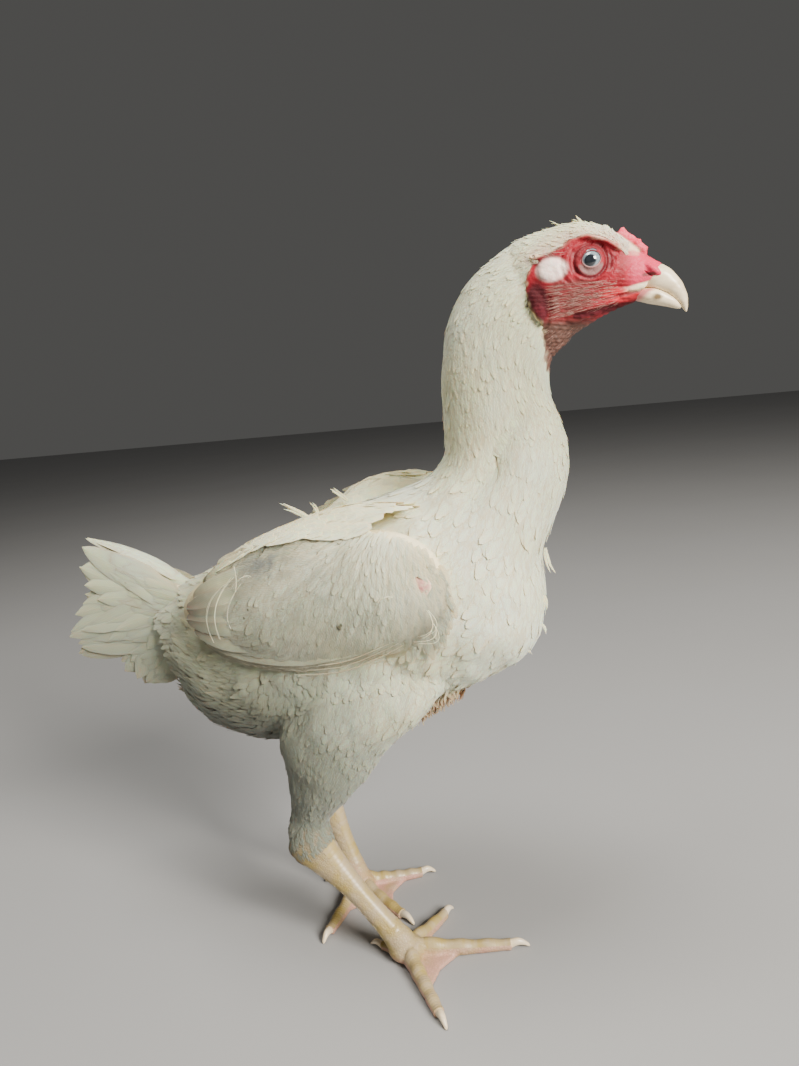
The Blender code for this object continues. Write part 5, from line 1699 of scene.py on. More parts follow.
HAIR_RADIUS = 0.08
WISPS = (
    # start and end beside the bird, y, bend of the middle (x, z), width, strands
    ((-204, 262), (-217, 226), -70.5, (-5, 1), 0.35, 2),
    ((-210, 258), (-222, 224), -70.0, (-6, 2), 0.3, 2),
    ((-200, 258), (-209, 232), -71.0, (-4, -1), 0.35, 2),
    ((-203, 268), (-212, 246), -69.0, (4, -3), 0.35, 2),
    ((-193, 262), (-205, 255), -71.0, (1, 3), 0.35, 2),
    ((-120, 246), (-110, 248), -73.5, (0, 1.5), 0.7, 1),
    ((-94, 240), (-100, 226), -70.0, (5, -2), 0.7, 3),
    ((-92, 232), (-103, 222), -68.0, (6, -4), 0.7, 2),
    ((-36.5, 256), (-33.4, 241), -4.0, (-1.5, 0), 2.6, 2),
    ((-38.6, 228), (-36.6, 219), -6.0, (0.6, 0), 2.0, 2),
    ((-40.0, 211), (-38.2, 205.5), -8.0, (0.6, 0), 2.0, 2),
    ((-52.5, 199.0), (-49.6, 194.6), -12.0, (0.6, 0), 1.8, 2),
    ((-60.0, 193.7), (-56.4, 188.6), -14.0, (0.6, 0), 2.0, 2),
    ((-192, 275), (-211, 286), 30.0, (-1, 0.8), 3.2, 7),
    ((-187, 277), (-190.5, 287), 30.0, (0.4, 0.3), 1.8, 5),
    ((-165, 286), (-175.5, 294), 30.0, (-0.5, 0.6), 2.4, 6),
    ((-5.5, 432.5), (-8.5, 436.6), 0.0, (0, 0.3), 1.6, 4),
    ((-17, 433.5), (-22, 435.0), -2.0, (0, 0.3), 0.7, 2),
)


def make_wisps(name, rng, material):
    """Loose feathers and filaments that stand off the coat where the photo shows them."""
    t = np.linspace(0.0, 1.0, 12)
    spines, widths = [], []
    for (start_x, start_z), (end_x, end_z), y, (bend_x, bend_z), width, strands in WISPS:
        for _ in range(strands):
            jitter = rng.normal(0.0, 0.35 + 0.35 * width, 2)
            x = start_x + (end_x - start_x + jitter[0]) * t + bend_x * rng.uniform(0.7, 1.3) * 4 * t * (1 - t)
            z = start_z + (end_z - start_z + jitter[1]) * t + bend_z * rng.uniform(0.7, 1.3) * 4 * t * (1 - t)
            lift = 1.6 * np.sin(math.pi * t * 0.9) if abs(y) > 60 else 0.0
            side = -1.0 if y <= 0 else 1.0
            depth = y + side * lift + rng.uniform(-0.8, 0.8)
            spines.append(np.stack((x + rng.uniform(-0.8, 0.8), np.broadcast_to(depth, t.shape), z), -1))
            widths.append(width * rng.uniform(0.5, 1.1) / 2)
    spine = np.array(spines)
    halves = vane_halves(rng, t, np.array(widths), 0.5, 0.5, 1.6, 0.7)
    bake = np.stack((np.linspace(0.05, 0.95, len(spine)), np.full(len(spine), 0.5)), -1)
    return feather_coat(name, spine, (0.0, -1.0, 0.0), halves, 0.25, 0.1, bake, rng, material)


def make_hairs(name, roots, ways, lengths, rng, material):
    """Thin tapered filaments: closed three-sided spikes that arch from root to tip."""
    count = len(roots)
    t = np.array((0.0, 0.35, 0.7, 1.0))
    ends, normals, _ = settle(roots + ways * lengths[:, None], COAT_GUIDE["skin"])
    ends = ends + normals * 0.45
    arch = (0.35 * np.sin(math.pi * t))[None, :, None] * normals[:, None]
    spine = roots[:, None] * (1.0 - t)[None, :, None] + ends[:, None] * t[None, :, None] + arch
    side = unit(np.cross(ways, rng.normal(size=(count, 3))))[:, None]
    other = unit(np.cross(ways[:, None], side))
    size = HAIR_RADIUS * np.array((1.0, 0.8, 0.5, 0.12))[None, :, None]
    turns = np.arange(3) * math.tau / 3
    rings = [spine + (side * math.cos(v) + other * math.sin(v)) * size for v in turns]
    points = np.stack(rings, 2)
    index = np.arange(count * 12).reshape(count, 4, 3)
    near, far = index[:, :-1], index[:, 1:]
    quads = np.stack((near, np.roll(near, -1, 2), np.roll(far, -1, 2), far), -1).reshape(-1, 4)
    made = make_mesh(name, points.reshape(-1, 3), (quads, index[:, 0, ::-1], index[:, -1]))
    spot = np.stack((0.5 + roots[:, 0] / 120.0 * np.sign(roots[:, 1]), (roots[:, 2] - 340.0) / 110.0), -1)
    patch = np.repeat(np.clip(spot, 0.01, 0.99)[:, None], 12, axis=1)
    patch[..., 0] += np.tile(np.repeat((0.0, 1.0, 2.0, 3.0), 3), (count, 1)) * 0.0009
    patch[..., 1] += np.tile(np.tile((0.0, 1.0, 2.0), 4), (count, 1)) * 0.0012
    keep_map(made, "OFBake", patch)
    return finish_piece(face_outwards(made), material)


# Settings, operators and panel


def colour_setting(name, text, default):
    return FloatVectorProperty(
        name=name, description=text, default=default, size=3, min=0.0, max=1.0, subtype="COLOR"
    )


class ShamoPlumageSettings(bpy.types.PropertyGroup):
    plumage_white: colour_setting("White", "Clean feathers", (0.94, 0.86, 0.60))
    plumage_cream: colour_setting("Cream", "Warmer feathers", (0.91, 0.78, 0.45))
    # used for painted shade low down and towards the back of the body, and for the mottle of the skin under
    # the coat
    grey_mottle_and_shade: colour_setting("Grey", "Duller feathers low on the body", (0.27, 0.25, 0.185))
    grime: colour_setting("Wing grime", "Dull tone of the wings", (0.17, 0.155, 0.11))
    # used for the brown stain low on the near wing, for painted shade in the wing's dark streaks and for
    # painted shadow under its lower edge
    dark_brown: colour_setting("Wing stain", "Brown stain on the near wing", (0.30, 0.24, 0.16))
    blush: colour_setting(
        "Blush", "Skin that shows through the small feathers round the face", (0.72, 0.32, 0.28)
    )
    keel_skin: colour_setting("Keel patch", "Rubbed patch under the breast", (0.42, 0.27, 0.16))
    density: FloatProperty(
        name="Row step",
        description="Distance between feather rows, as a share",
        default=1.0,
        min=0.6,
        max=2.0,
    )


class ShamoFaceSettings(bpy.types.PropertyGroup):
    face_red: colour_setting("Face", "Bare skin of the face", (0.36, 0.013, 0.028))
    face_deep: colour_setting("Face, deep", "Deeper red in its blotches", (0.22, 0.007, 0.013))
    orbit_red: colour_setting("Eye hollow", "Duller skin round the eye", (0.15, 0.012, 0.017))
    lappet: colour_setting("Lappet", "Dark fold behind the cheek", (0.05, 0.003, 0.006))
    cheek_pale: colour_setting("Cheek", "Paler skin under the hairs", (0.15, 0.038, 0.034))
    throat_brown: colour_setting("Throat", "Wrinkled skin of the throat", (0.115, 0.055, 0.042))
    gape_red: colour_setting("Gape", "Red corner of the mouth", (0.50, 0.02, 0.03))
    cere_pink: colour_setting("Cere", "Skin round the nostrils", (0.64, 0.045, 0.10))
    lobe: colour_setting("Ear lobe", "Pale ear lobes", (0.98, 0.84, 0.74))
    comb: colour_setting("Comb", "Pea comb", (0.66, 0.022, 0.065))
    lid: colour_setting("Lids", "Pale lower lids", (0.29, 0.15, 0.145))
    iris: colour_setting("Iris", "Darker part of the iris", (0.13, 0.18, 0.22))
    iris_light: colour_setting("Iris, light", "Lighter spokes of the iris", (0.33, 0.40, 0.44))
    hair_count: IntProperty(
        name="Face hairs", description="Filaments on each cheek", default=360, min=0, max=2000
    )


class ShamoHornSettings(bpy.types.PropertyGroup):
    horn: colour_setting("Bill", "Ivory bill", (0.94, 0.79, 0.55))
    horn_warm: colour_setting("Bill, warm", "Warmer bands of the horn", (0.78, 0.64, 0.42))
    claw: colour_setting("Claws", "Pale claws", (0.72, 0.62, 0.48))
    leg_ivory: colour_setting("Leg", "Ivory of the legs", (0.44, 0.35, 0.215))
    leg_yellow: colour_setting("Leg, yellow", "Yellow patches", (0.40, 0.30, 0.09))
    toe_pink: colour_setting("Toes, pink", "Skin beside and between the toes", (0.56, 0.30, 0.24))
    hock_cream: colour_setting("Hock", "Pale skin of the hock", (0.21, 0.19, 0.13))
    scute_height: FloatProperty(
        name="Scute height", description="How far the leg's plates stand out", default=0.00045,
        min=0.0, max=0.002, unit="LENGTH", subtype="DISTANCE",
    )


GROUPS = {
    "shamo_plumage": ShamoPlumageSettings,
    "shamo_face": ShamoFaceSettings,
    "shamo_horn": ShamoHornSettings,
}


def looks(scene):
    """All settings of the three groups as one."""
    found = {}
    for group in (getattr(scene, name) for name in GROUPS):
        found.update((name, getattr(group, name)) for name in group.__annotations__)
    return SimpleNamespace(**found)


def skin_surface():
    """A search tree over the finished skin, in metres."""
    skin = bpy.data.objects["skin"]
    return BVHTree.FromObject(skin, bpy.context.evaluated_depsgraph_get())


class Step:
    """One step of the model, which builds its pieces with the scene's settings."""

    def execute(self, context):
        self.build(looks(context.scene))
        return {"FINISHED"}


class SHAMO_OT_skin(Step, bpy.types.Operator):
    """Makes the one skin of trunk, head, comb, lobes, wings, tail, thighs, shanks and feet"""

    bl_idname = "shamo.skin"
    bl_label = "Skin"

    def build(self, look):
        plumage_group(look)
        barbs_group()
        grain_group()
        skin = make_body_core()
        combine(skin, make_head_skin(), "UNION")
        COAT_GUIDE["skin"] = skin_surface()
        for side in SIDES:
            combine(skin, make_wing_core(side), "UNION")
            combine(skin, make_leg_skin(side), "UNION")
        skin.data.materials.clear()
        for material in (down_material(look), face_material(look), leg_material(look)):
            skin.data.materials.append(material)
        mark_skin(skin)
        nodes = ["torso", "neck", "head", "comb", "tail"]
        for side in SIDES:
            nodes += [n + side for n in ("ear_lobe_", "wing_", "thigh_", "shank_", "foot_")]
        finish_piece(skin, None, nodes)


def lid_rings():
    """Smooth margins of the lids, one closed ring round each eye's opening."""
    x, out, z = EYE_CENTRE
    open_x, open_z, half_x, half_z = LID_OPENING
    around, tube = 72, 12
    turn, roll = grid_of(circle(around), circle(tube))
    index = np.arange(around * tube).reshape(around, tube)
    after = np.roll(index, -1, 0)
    quads = np.stack((index, after, np.roll(after, -1, 1), np.roll(index, -1, 1)), -1).reshape(-1, 4)
    thick = 0.42 + 0.22 * np.maximum(0.0, -np.sin(turn))
    flat_x = open_x - x + (half_x + 0.8 * thick * np.cos(roll)) * np.cos(turn)
    flat_z = open_z - z + (half_z + 0.8 * thick * np.cos(roll)) * np.sin(turn)
    height = np.sqrt(np.maximum((EYE_RADIUS + 0.2) ** 2 - flat_x**2 - flat_z**2, 1.0)) + thick * np.sin(roll)
    parts = []
    for sign in SIDES.values():
        points = np.stack((x + flat_x, sign * (out + height), z + flat_z), -1)
        parts.append(face_outwards(make_mesh("lid", points.reshape(-1, 3), (quads,))))
    return finish_piece(join("eyelids", parts), lid_material())


class SHAMO_OT_eyes(Step, bpy.types.Operator):
    """Makes both eyeballs with a raised, wet front, and the margins of the lids"""

    bl_idname = "shamo.eyes"
    bl_label = "Eyes"

    def build(self, look):
        x, out, z = EYE_CENTRE
        for side, sign in SIDES.items():
            centre = (x, sign * out, z)
            eye = ellipsoid("eyeball_" + side, centre, (EYE_RADIUS,) * 3, 0, 64, 48)
            points = read_points(eye)
            away = points - np.array(centre)
            far = np.hypot(away[:, 0], away[:, 2])
            front = ramp(away[:, 1] * sign, 0.0, 4.0)
            write_points(eye, points + unit(away) * (0.55 * front * ramp(far, 5.2, 1.5))[:, None])
            finish_piece(eye, eye_material(look, side), ["eye_" + side])
        lid_rings()


class SHAMO_OT_bill(Step, bpy.types.Operator):
    """Makes the hooked upper bill and the lower bill"""

    bl_idname = "shamo.bill"
    bl_label = "Bill"

    def build(self, look):
        upper = loft("bill_upper", shell_rings(make_shell(UPPER_BILL_KEYS), 70, 56))
        lower = loft("bill_lower", shell_rings(make_shell(LOWER_BILL_KEYS), 60, 48))
        material = horn_material("bill_horn", look, look.horn, bill=True)
        for made, strength, node in ((upper, 0.10, "beak_upper"), (lower, 0.08, "beak_lower")):
            points = read_points(made)
            grooves = gentle_noise(points * np.array((0.4, 1.0, 1.0)), 2.6, 44)
            write_points(made, points + read_normals(made) * (strength * grooves)[:, None])
            finish_piece(made, material, [node])


def talon(side, toe):
    """One curved claw, rooted in the tip of its toe."""
    length = TOES[toe][0]
    _, tip, along = toe_course(side, toe)
    across = np.array((-along[1], along[0], 0.0))
    tip_half = float(toe_half(toe, 1.0))
    share, angle = tube_grid(-0.12, 1.0, 22, 20)
    slim = np.clip(1.0 - np.maximum(share, 0.0), 0.0, 1.0)
    half = tip_half * 0.66 * slim**0.5 + 0.6
    base = (tip_half - FLOOR_SINK) * slim**0.9 + half * 0.9 * np.maximum(share, 0.0)
    height = base + 1.2 * np.sin(math.pi * np.clip(share * 1.15, 0.0, 1.0)) + 0.5
    groove = 1.0 - 0.35 * np.maximum(0.0, -np.cos(angle)) ** 2
    centre = tip + along * (0.3 + length * 0.74 * share)[..., None]
    points = centre + across * (half * 0.85 * np.sin(angle))[..., None]
    points = points + np.array((0, 0, 1.0)) * (height + half * np.cos(angle) * groove)[..., None]
    points[..., 2] = np.maximum(points[..., 2], 0.15)
    return loft("talon", points)


class SHAMO_OT_talons(Step, bpy.types.Operator):
    """Makes the four curved claws of each foot"""

    bl_idname = "shamo.talons"
    bl_label = "Claws"

    def build(self, look):
        material = horn_material("claw_horn", look, look.claw)
        for side in SIDES:
            claws = join("talons_" + side, [talon(side, toe) for toe in TOES])
            finish_piece(claws, material, ["claw_%s_%s" % (toe, side) for toe in TOES])


def plate_patch(surface, first, last, low, high, height):
    """Points and faces of one closed plate that hugs a surface and stands up at its far edge."""
    u, v = grid_of(np.linspace(0.0, 1.0, 5), np.linspace(0.0, 1.0, 7))
    rim = np.sin(math.pi * np.clip(v, 0.02, 0.98)) ** 0.35
    round_end = 0.16 * (1.0 - np.sin(math.pi * v))
    share = first + (last - first) * (u * (1.0 - round_end * u) + round_end * 0.3 * (1 - u))
    angle = low + (high - low) * v
    lift = height * rim * (0.25 + 0.95 * u**1.3) * np.where(u > 0.99, 0.75, 1.0)
    top = surface(share, angle, lift).reshape(-1, 3)
    under = surface(share, angle, np.full(u.shape, -0.5)).reshape(-1, 3)
    index = np.arange(u.size).reshape(u.shape)
    quads = np.stack((index[:-1, :-1], index[1:, :-1], index[1:, 1:], index[:-1, 1:]), -1).reshape(-1, 4)
    ring = np.concatenate((index[0, :], index[1:, -1], index[-1, -2::-1], index[-2:0:-1, 0]))
    after = np.roll(ring, -1)
    walls = np.stack((ring, after, after + u.size, ring + u.size), -1)
    faces = np.concatenate((quads, quads[:, ::-1] + u.size, walls))
    return np.concatenate((top, under)), faces, np.tile(u.ravel(), 2)


SHANK_PLATES = (
    # angles between which a row lies, its number of plates and where it starts down the shank
    (-0.95, 0.04, 21, 0.16),
    (0.0, 0.95, 21, 0.18),
    (2.25, 3.12, 24, 0.24),
    (3.16, 4.03, 24, 0.26),
)
SHANK_PLATES_END = 0.97
TOE_PLATES = (0.20, 0.99)  # shares of the toe between which its plates lie
TOE_PLATE_STEP = 2.3
TOE_PLATE_ANGLE = 1.05


class SHAMO_OT_scutes(Step, bpy.types.Operator):
    """Makes the overlapping plates down the shanks and across the toes"""

    bl_idname = "shamo.scutes"
    bl_label = "Leg scutes"

    def build(self, look):
        material = scute_material(look)
        height = look.scute_height / MM
        for side in SIDES:
            rng = np.random.default_rng(60 + (side == "L"))
            parts = []

            def lay(surface, *numbers):
                points, faces, rim = plate_patch(surface, *numbers)
                tint = np.full(len(points), rng.uniform(0.0, 1.0))
                parts.append((points, faces + len(points) * len(parts), rim, tint))

            for low, high, count, start in SHANK_PLATES:
                step = (SHANK_PLATES_END - start) / count
                size = height * (1.0 if high < 1.5 else 0.7)
                for i in range(count):
                    first = start + step * (i + rng.uniform(-0.08, 0.08))
                    lay(partial(shank_points, side), first, first + step * 1.18, low, high, size)
            for toe in TOES:
                count = int((LEGS[side]["toes"][toe][1] - TOES[toe][0]) / TOE_PLATE_STEP)
                for i in range(count):
                    first = TOE_PLATES[0] + 0.79 * i / count
                    last = first + 0.79 / count * 1.2
                    place = partial(toe_points, side, toe)
                    lay(place, first, last, -TOE_PLATE_ANGLE, TOE_PLATE_ANGLE, height * 0.8)
            points, faces, rims, tints = (np.concatenate(part) for part in zip(*parts))
            made = make_mesh("scutes_" + side, points, (faces,))
            keep_value(made, "rim", rims)
            keep_value(made, "tint", tints)
            finish_piece(face_outwards(made), material, angle=50)


def head_drop(root, _):
    """Leaves the face, comb and bill free of feathers, with an uneven edge behind the eye."""
    flat = root[:, [0, 2]]
    bare = distance_inside(flat, FACE_EDGE)
    comb, _ = distance_to_line(flat, ((13.0, 427.5), (27.0, 415.0)))
    return (bare > 0.3 + 0.5 * gentle_noise(root, 3.0, 41)) | (comb < 3.0) | (root[:, 0] > 24.0)


def into_face(spine):
    """Which feathers of the head would reach into the bare face."""
    deep = distance_inside(spine[..., [0, 2]].reshape(-1, 2), FACE_EDGE).reshape(spine.shape[:2])
    limit = 1.2 - 0.6 * ramp(np.abs(spine[..., 0]), 18.0, 12.0)
    return ((deep > limit) & (np.abs(spine[..., 1]) > 5.0)).any(axis=1)


def body_drop(root, rng):
    """Leaves most of the rubbed patch and all that is under the wings free of feathers."""
    keel = ~off_keel(root, rng) & (rng.uniform(0.0, 1.0, len(root)) < 0.9)
    return keel | under_wing(root)


def off_keel(root, _):
    """Leaves only the rubbed patch under the breast."""
    away = np.hypot((root[:, 0] + 106.0) / 21.0, (root[:, 2] - 165.0) / 19.0)
    return (away > 1.0) | (np.abs(root[:, 1]) > 30.0)


def low_shrink(root):
    """Feathers get smaller over the flank and belly."""
    return 1.0 - 0.38 * ramp(root[:, 2], 222.0, 196.0) * ramp(root[:, 0], -58.0, -84.0)


def flank_drift(root):
    """Turns the feathers above the thighs down over them."""
    x, y, z = root.T
    over = ramp(x, -70.0, -95.0) * ramp(x, -215.0, -190.0) * ramp(z, 225.0, 195.0)
    return 0.85 * (over * ramp(np.abs(y), 20.0, 32.0)) * np.sign(y)


class SHAMO_OT_neck_coat(Step, bpy.types.Operator):
    """Lays the crown's small feathers and the narrow hackles of the neck"""

    bl_idname = "shamo.neck_coat"
    bl_label = "Crown and hackles"

    def build(self, look):
        material = feather_material(look)
        neck, breast = key_run(FIRST_NECK_KEY), key_run(FIRST_BREAST_KEY)
        rng = np.random.default_rng(101)
        rows = coat_rows(12.0, neck, look.density)
        shell_coat(
            "crown_coat", TRUNK, rows, rng, material, stations=SMALL_STATIONS, thick=0.15,
            loose=0.9, reach=6.5, above=412.0, drop=head_drop, clear=into_face,
        )
        rows = coat_rows(neck, breast, 1.05 * look.density)
        shell_coat(
            "hackle_coat", TRUNK, rows, rng, material, thick=0.12,
            stray=0.10, loose=0.8, reach=5.0, above=412.0, drop=head_drop,
        )


class SHAMO_OT_body_coat(Step, bpy.types.Operator):
    """Lays the rounded feathers of breast, back, flanks and belly"""

    bl_idname = "shamo.body_coat"
    bl_label = "Body coat"

    def build(self, look):
        material = feather_material(look)
        marks = [key_run(k) for k in (FIRST_BREAST_KEY, FIRST_BELLY_KEY, FIRST_RUMP_KEY, LAST_RUMP_KEY)]
        belly = {
            "stations": SOFT_STATIONS, "camber": 0.06, "loose": 1.3, "root_width": 0.6,
            "drop": body_drop, "shrink": low_shrink, "drift": flank_drift, "end": marks[-1],
        }
        rump = {**belly, "notch": 0.5, "stray": 0.2, "loose": 1.8, "roundness": 2.0, "point": 0.7}
        keel = {
            **rump, "drop": off_keel, "shrink": None, "stray": 0.4, "loose": 3.0, "camber": 0.2,
            "reach": 6.0, "hang": 5.0,
        }
        rng = np.random.default_rng(202)
        styles = {"breast_coat": {**belly, "reach": 5.5}, "belly_coat": belly, "rump_coat": rump}
        for (name, style), first, last in zip(styles.items(), marks[:-1], marks[1:]):
            shell_coat(name, TRUNK, coat_rows(first, last, look.density), rng, material, **style)
        places = np.arange(key_run(14), marks[2], 2.6)
        rows = [(float(s), 1.6, 11.0, 4.4, 3.0) for s in places]
        shell_coat("keel_tufts", TRUNK, rows, rng, material, **keel)


class SHAMO_OT_thigh_coat(Step, bpy.types.Operator):
    """Lays the small smooth feathers of both thighs down to the hocks"""

    bl_idname = "shamo.thigh_coat"
    bl_label = "Thigh coat"

    def build(self, look):
        material = feather_material(look)
        for side in SIDES:
            rng = np.random.default_rng(300 + (side == "L"))
            shell = thigh_shell(side)
            rows, s = [], 1.0
            while s < shell["length"] - 2.0:
                share = s / shell["length"]
                length, width = 17.0 - 9.5 * share, 7.6 - 4.6 * share
                rows.append((s, 0.9 - 0.5 * share, length, width, width * 0.42))
                s += 3.35 - 1.85 * share
            shell_coat(
                "thigh_coat_" + side, shell, rows, rng, material, stray=0.15, camber=0.08,
                reach=4.0, end=shell["length"] - 0.4, beyond=(-0.35, 0.0, -1.0),
            )
            hock_feathers("hock_coat_" + side, side, rng, material)


def quill_feathers(name, side, rng, material):
    """Long flight feathers along the wing; those of its upper half lie over the lower ones."""
    level = np.array((-0.008, 0.03, 0.065, 0.13, 0.26, 0.44, 0.62, 0.78, 0.92))
    width = np.array((0.9, 0.6, 0.7, 11.0, 17.0, 19.0, 19.0, 17.0, 11.0))
    count = len(level)
    t = QUILL_STATIONS[None, :]
    low_edge = (level < 0.1)[:, None]
    start = np.where(level < 0.1, -112.0 - 40.0 * level, -138.0)
    tip = -222.0 - 24.0 * np.sin(math.pi * np.clip(level + 0.02, 0.0, 1.0)) ** 0.8
    tip = np.where(level < 0.1, -176.0 + 220.0 * level, tip)
    x = start[:, None] + (tip - start)[:, None] * t
    bounded = np.maximum(x, -236.0) + 0.4 * np.minimum(x + 236.0, 0.0)
    top, low, half, out = wing_columns(bounded, (1, 2, 3, 4))
    z = low + (top - low) * level[:, None] + wing_rise(side, x)
    z = z + np.where(low_edge, 5.0 * ramp(x, -152.0, -114.0), 0.0)
    sunk = np.where(level[:, None] < 0.15, 0.9, 3.0 - 2.4 * ramp(x, -198.0, -224.0))
    spine = wing_sheet(side, x, z, sunk)
    hang = SIDES[side] * (out + half * 0.62 + 20.0 * level[:, None])
    spine[..., 1] = np.where(low_edge, hang, spine[..., 1])
    step = 0.14 * np.arange(count) + 0.5 * (level > 0.6)
    spine[..., 1] += SIDES[side] * step[:, None] * np.where(low_edge, 0.0, ramp(x, -180.0, -205.0))
    halves = vane_halves(rng, QUILL_STATIONS, width / 2, 0.10, 0.5, 7.0)
    bake = np.stack((np.full(count, 0.1), 0.05 + 0.9 * level), -1)
    hint = (0.0, SIDES[side], 0.0)
    return feather_coat(name, spine, hint, halves, 0.3, 0.05, bake, rng, material, QUILL_RING)


def covert_feathers(name, side, rng, material):
    """Small feathers over the wing's face, down to its free edge and round its bare spot."""
    step = 2.5
    xs, zs = np.meshgrid(np.arange(-240.0, -87.0, step), np.arange(196.0, 300.0, step))
    xs = xs + np.where(np.arange(xs.shape[0])[:, None] % 2, step / 2, 0.0)
    xs, zs = xs.ravel(), zs.ravel()
    count = len(xs)
    xs = xs + rng.uniform(-0.9, 0.9, count)
    zs = zs + rng.uniform(-0.9, 0.9, count)
    top, low, _, _ = wing_edges(side, xs)
    far = np.hypot(xs - WING_HUMP[0], zs - WING_HUMP[1] - WING_LIFT[side])
    length = (8.5 + far * 0.10) * rng.uniform(0.85, 1.2, count)
    width = (3.8 + far * 0.045) * rng.uniform(0.85, 1.15, count)
    rear = ramp(xs, -196.0, -222.0)
    edge = 1.5 + 8.0 * ramp(xs, -166.0, -146.0) * ramp(xs, -108.0, -116.0)
    keep = (zs < top - 1.5) & (zs > low + edge) & (xs > -226.0)
    keep &= rng.uniform(0.0, 1.0, count) > rear
    if side == "R":
        way_x, way_z = wing_lie(side, xs, zs)
        for share in (0.0, 0.35, 0.7, 1.0):
            there_x, there_z = xs + way_x * length * share, zs + way_z * length * share
            there = np.hypot(there_x - BARE_SPOT[0], there_z - BARE_SPOT[2])
            keep &= (there > 3.1) | (rng.uniform(0.0, 1.0, count) < 0.14)
    xs, zs, length, width = xs[keep], zs[keep], length[keep], width[keep]
    size = np.stack((np.full(len(xs), 0.7), length, width), -1)
    style = {
        "stations": BODY_STATIONS, "roundness": 2.1, "notch": 0.35, "stray": 0.14,
        "thick": 0.09, "camber": 0.06, "base": 0.35, "loose": 0.8,
    }
    return sheet_feathers(name, side, xs, zs, size, rng, material, style)


class SHAMO_OT_wing_coat(Step, bpy.types.Operator):
    """Lays the wings' flight feathers, their coverts and the scapulars over them"""

    bl_idname = "shamo.wing_coat"
    bl_label = "Wings"

    def build(self, look):
        dull, white = feather_material(look, "wing_feathers", 0.75), feather_material(look)
        for side in SIDES:
            rng = np.random.default_rng(400 + (side == "L"))
            quill_feathers("flight_feathers_" + side, side, rng, dull)
            covert_feathers("covert_coat_" + side, side, rng, dull)
            scapular_feathers("scapular_coat_" + side, side, rng, white)


class SHAMO_OT_tail_coat(Step, bpy.types.Operator):
    """Lays the broad soft feathers of the tail and the loose wisps of the coat"""

    bl_idname = "shamo.tail_coat"
    bl_label = "Tail and wisps"

    def build(self, look):
        material = feather_material(look)
        tail_vanes("tail_feathers", np.random.default_rng(505), material)
        make_wisps("loose_wisps", np.random.default_rng(515), material)


class SHAMO_OT_face_hairs(Step, bpy.types.Operator):
    """Sets the fine pale filaments of cheeks, ears and throat"""

    bl_idname = "shamo.face_hairs"
    bl_label = "Face hairs"

    def build(self, look):
        surface = skin_surface()
        material = plain_material(
            "face_hairs", 0.6, 300.0, (0.3, 0.7), (0.50, 0.31, 0.26), (0.36, 0.17, 0.14)
        )
        rng = np.random.default_rng(606)
        roots, ways, lengths = [], [], []
        for sign in SIDES.values():
            made = 0
            while made < look.hair_count:
                x, z = rng.uniform(-34.0, 20.0), rng.uniform(352.0, 420.0)
                inside = float(distance_inside(np.array([[x, z]]), FACE_EDGE)[0])
                cheek = 387.0 + 0.12 * x < z < 401.0 and -22.0 < x < 12.0
                ear = -31.0 < x < -14.0 and z > 415.5
                throat = z < 380.0
                on_lobe = math.hypot(x + 22, (z - 409) * 1.2) < 7.5
                if inside < 0.4 or not (cheek or ear or throat) or on_lobe:
                    continue
                if throat and rng.uniform() < 0.5:
                    continue
                start = Vector(to_row((x, sign * 45.0, z)))
                hit, normal, _, _ = surface.ray_cast(start, Vector((0.0, -sign, 0.0)))
                if hit is None:
                    continue
                fall = 0.02 - 0.012 * (400.0 - z) if cheek else (0.10 if ear else -0.45)
                way = np.array((-1.0, 0.0, fall)) + rng.normal(0.0, 0.02, 3)
                out = np.array(normal)
                ways.append(unit(way - out * (way @ out) + out * rng.uniform(0.02, 0.10)))
                roots.append(to_working(hit) - out * 0.1)
                lengths.append(min(rng.uniform(6.0, 12.0), x + 27.0) if cheek else rng.uniform(3.0, 7.0))
                made += 1
        make_hairs("face_hairs", np.array(roots), np.array(ways), np.array(lengths), rng, material)


LIGHTS = (
    # name, place in metres, size, power in watts, colour
    ("key_light", (1.5, -1.05, 1.2), 0.8, 116.0, (1.0, 0.95, 0.86)),
    ("fill_light", (-0.5, -1.8, 0.9), 1.4, 1.0, (1.0, 0.99, 0.97)),
    ("top_light", (-0.2, -0.15, 1.8), 0.7, 25.0, (1.0, 0.97, 0.90)),
)
LIT_POINT = Vector((0.0, 0.0, 0.22))
SKY = (0.38, 0.375, 0.36, 1.0)
SKY_STRENGTH = 0.21
FLOOR_SIZE = 12.0
CAMERA_PLACE = (0.0, -463.5, 360.0)
CAMERA_RIGHT = (0.9659, 0.2392, -0.0993)
CAMERA_UP = (0.0494, 0.2062, 0.9773)
FOCAL_LENGTH = 26.78
SENSOR_WIDTH = 36.0


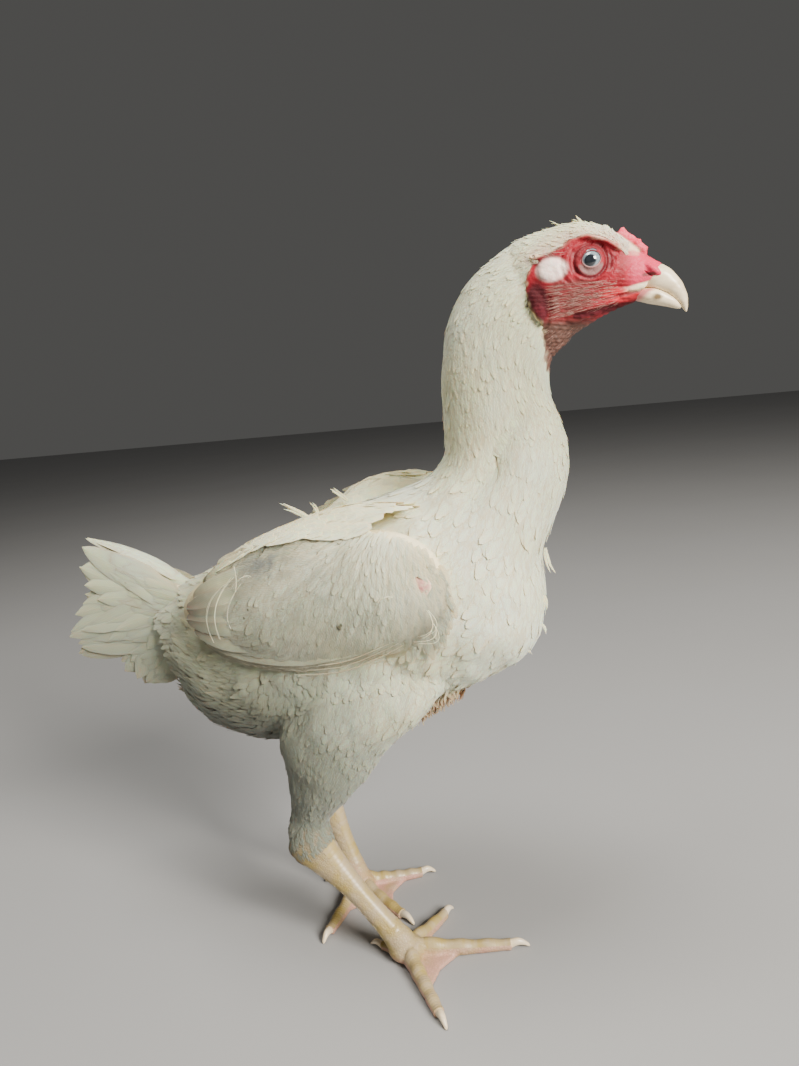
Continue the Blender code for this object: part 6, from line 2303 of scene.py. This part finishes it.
class SHAMO_OT_stage(Step, bpy.types.Operator):
    """Sets a plain pale floor, soft studio lights and the camera"""

    bl_idname = "shamo.stage"
    bl_label = "Stage and camera"

    def build(self, look):
        scene = bpy.context.scene
        bpy.ops.object.select_all(action="DESELECT")
        bpy.ops.mesh.primitive_plane_add(size=FLOOR_SIZE, location=(0.0, 0.0, 0.0))
        floor = bpy.context.active_object
        floor.name = "studio_floor"
        colours = (0.31, 0.31, 0.315), (0.34, 0.34, 0.345)
        floor.data.materials.append(plain_material("studio_floor", 0.75, 3.0, None, *colours))
        scene.world = bpy.data.worlds.new("studio")
        scene.world.use_nodes = True
        sky = scene.world.node_tree.nodes["Background"]
        sky.inputs["Color"].default_value = SKY
        sky.inputs["Strength"].default_value = SKY_STRENGTH
        for name, place, size, power, colour in LIGHTS:
            light = bpy.data.lights.new(name, "AREA")
            light.size = size
            light.energy = power
            light.color = colour
            lamp = bpy.data.objects.new(name, light)
            scene.collection.objects.link(lamp)
            lamp.location = place
            lamp.rotation_euler = (LIT_POINT - Vector(place)).to_track_quat("-Z", "Y").to_euler()
        camera = bpy.data.objects.new("photo_camera", bpy.data.cameras.new("photo_camera"))
        scene.collection.objects.link(camera)
        camera.data.lens = FOCAL_LENGTH
        camera.data.sensor_width = SENSOR_WIDTH
        camera.data.clip_start = 0.02
        right, up = Vector(CAMERA_RIGHT).normalized(), Vector(CAMERA_UP).normalized()
        back = right.cross(up).normalized()
        turn = Matrix((right, back.cross(right), back)).transposed().to_4x4()
        camera.matrix_world = Matrix.Translation(Vector(to_row(CAMERA_PLACE))) @ turn
        scene.camera = camera


OPERATORS = (
    SHAMO_OT_skin, SHAMO_OT_eyes, SHAMO_OT_bill, SHAMO_OT_talons, SHAMO_OT_scutes, SHAMO_OT_neck_coat,
    SHAMO_OT_body_coat, SHAMO_OT_thigh_coat, SHAMO_OT_wing_coat, SHAMO_OT_tail_coat, SHAMO_OT_face_hairs,
    SHAMO_OT_stage,
)


class SHAMO_PT_panel(bpy.types.Panel):
    bl_idname = "SHAMO_PT_panel"
    bl_label = "Shamo hen"
    bl_space_type = "VIEW_3D"
    bl_region_type = "UI"
    bl_category = "Shamo hen"

    def draw(self, context):
        for group in (getattr(context.scene, name) for name in GROUPS):
            for name in group.__annotations__:
                self.layout.prop(group, name)
        for operator in OPERATORS:
            self.layout.operator(operator.bl_idname)


CLASSES = (*GROUPS.values(), *OPERATORS, SHAMO_PT_panel)


def register():
    for made in CLASSES:
        bpy.utils.register_class(made)
    for name, group in GROUPS.items():
        setattr(bpy.types.Scene, name, PointerProperty(type=group))


def unregister():
    for name in GROUPS:
        delattr(bpy.types.Scene, name)
    for made in reversed(CLASSES):
        bpy.utils.unregister_class(made)


def main():
    register()
    for operator in OPERATORS:
        group, name = operator.bl_idname.split(".")
        getattr(getattr(bpy.ops, group), name)()


if __name__ == "__main__":
    main()
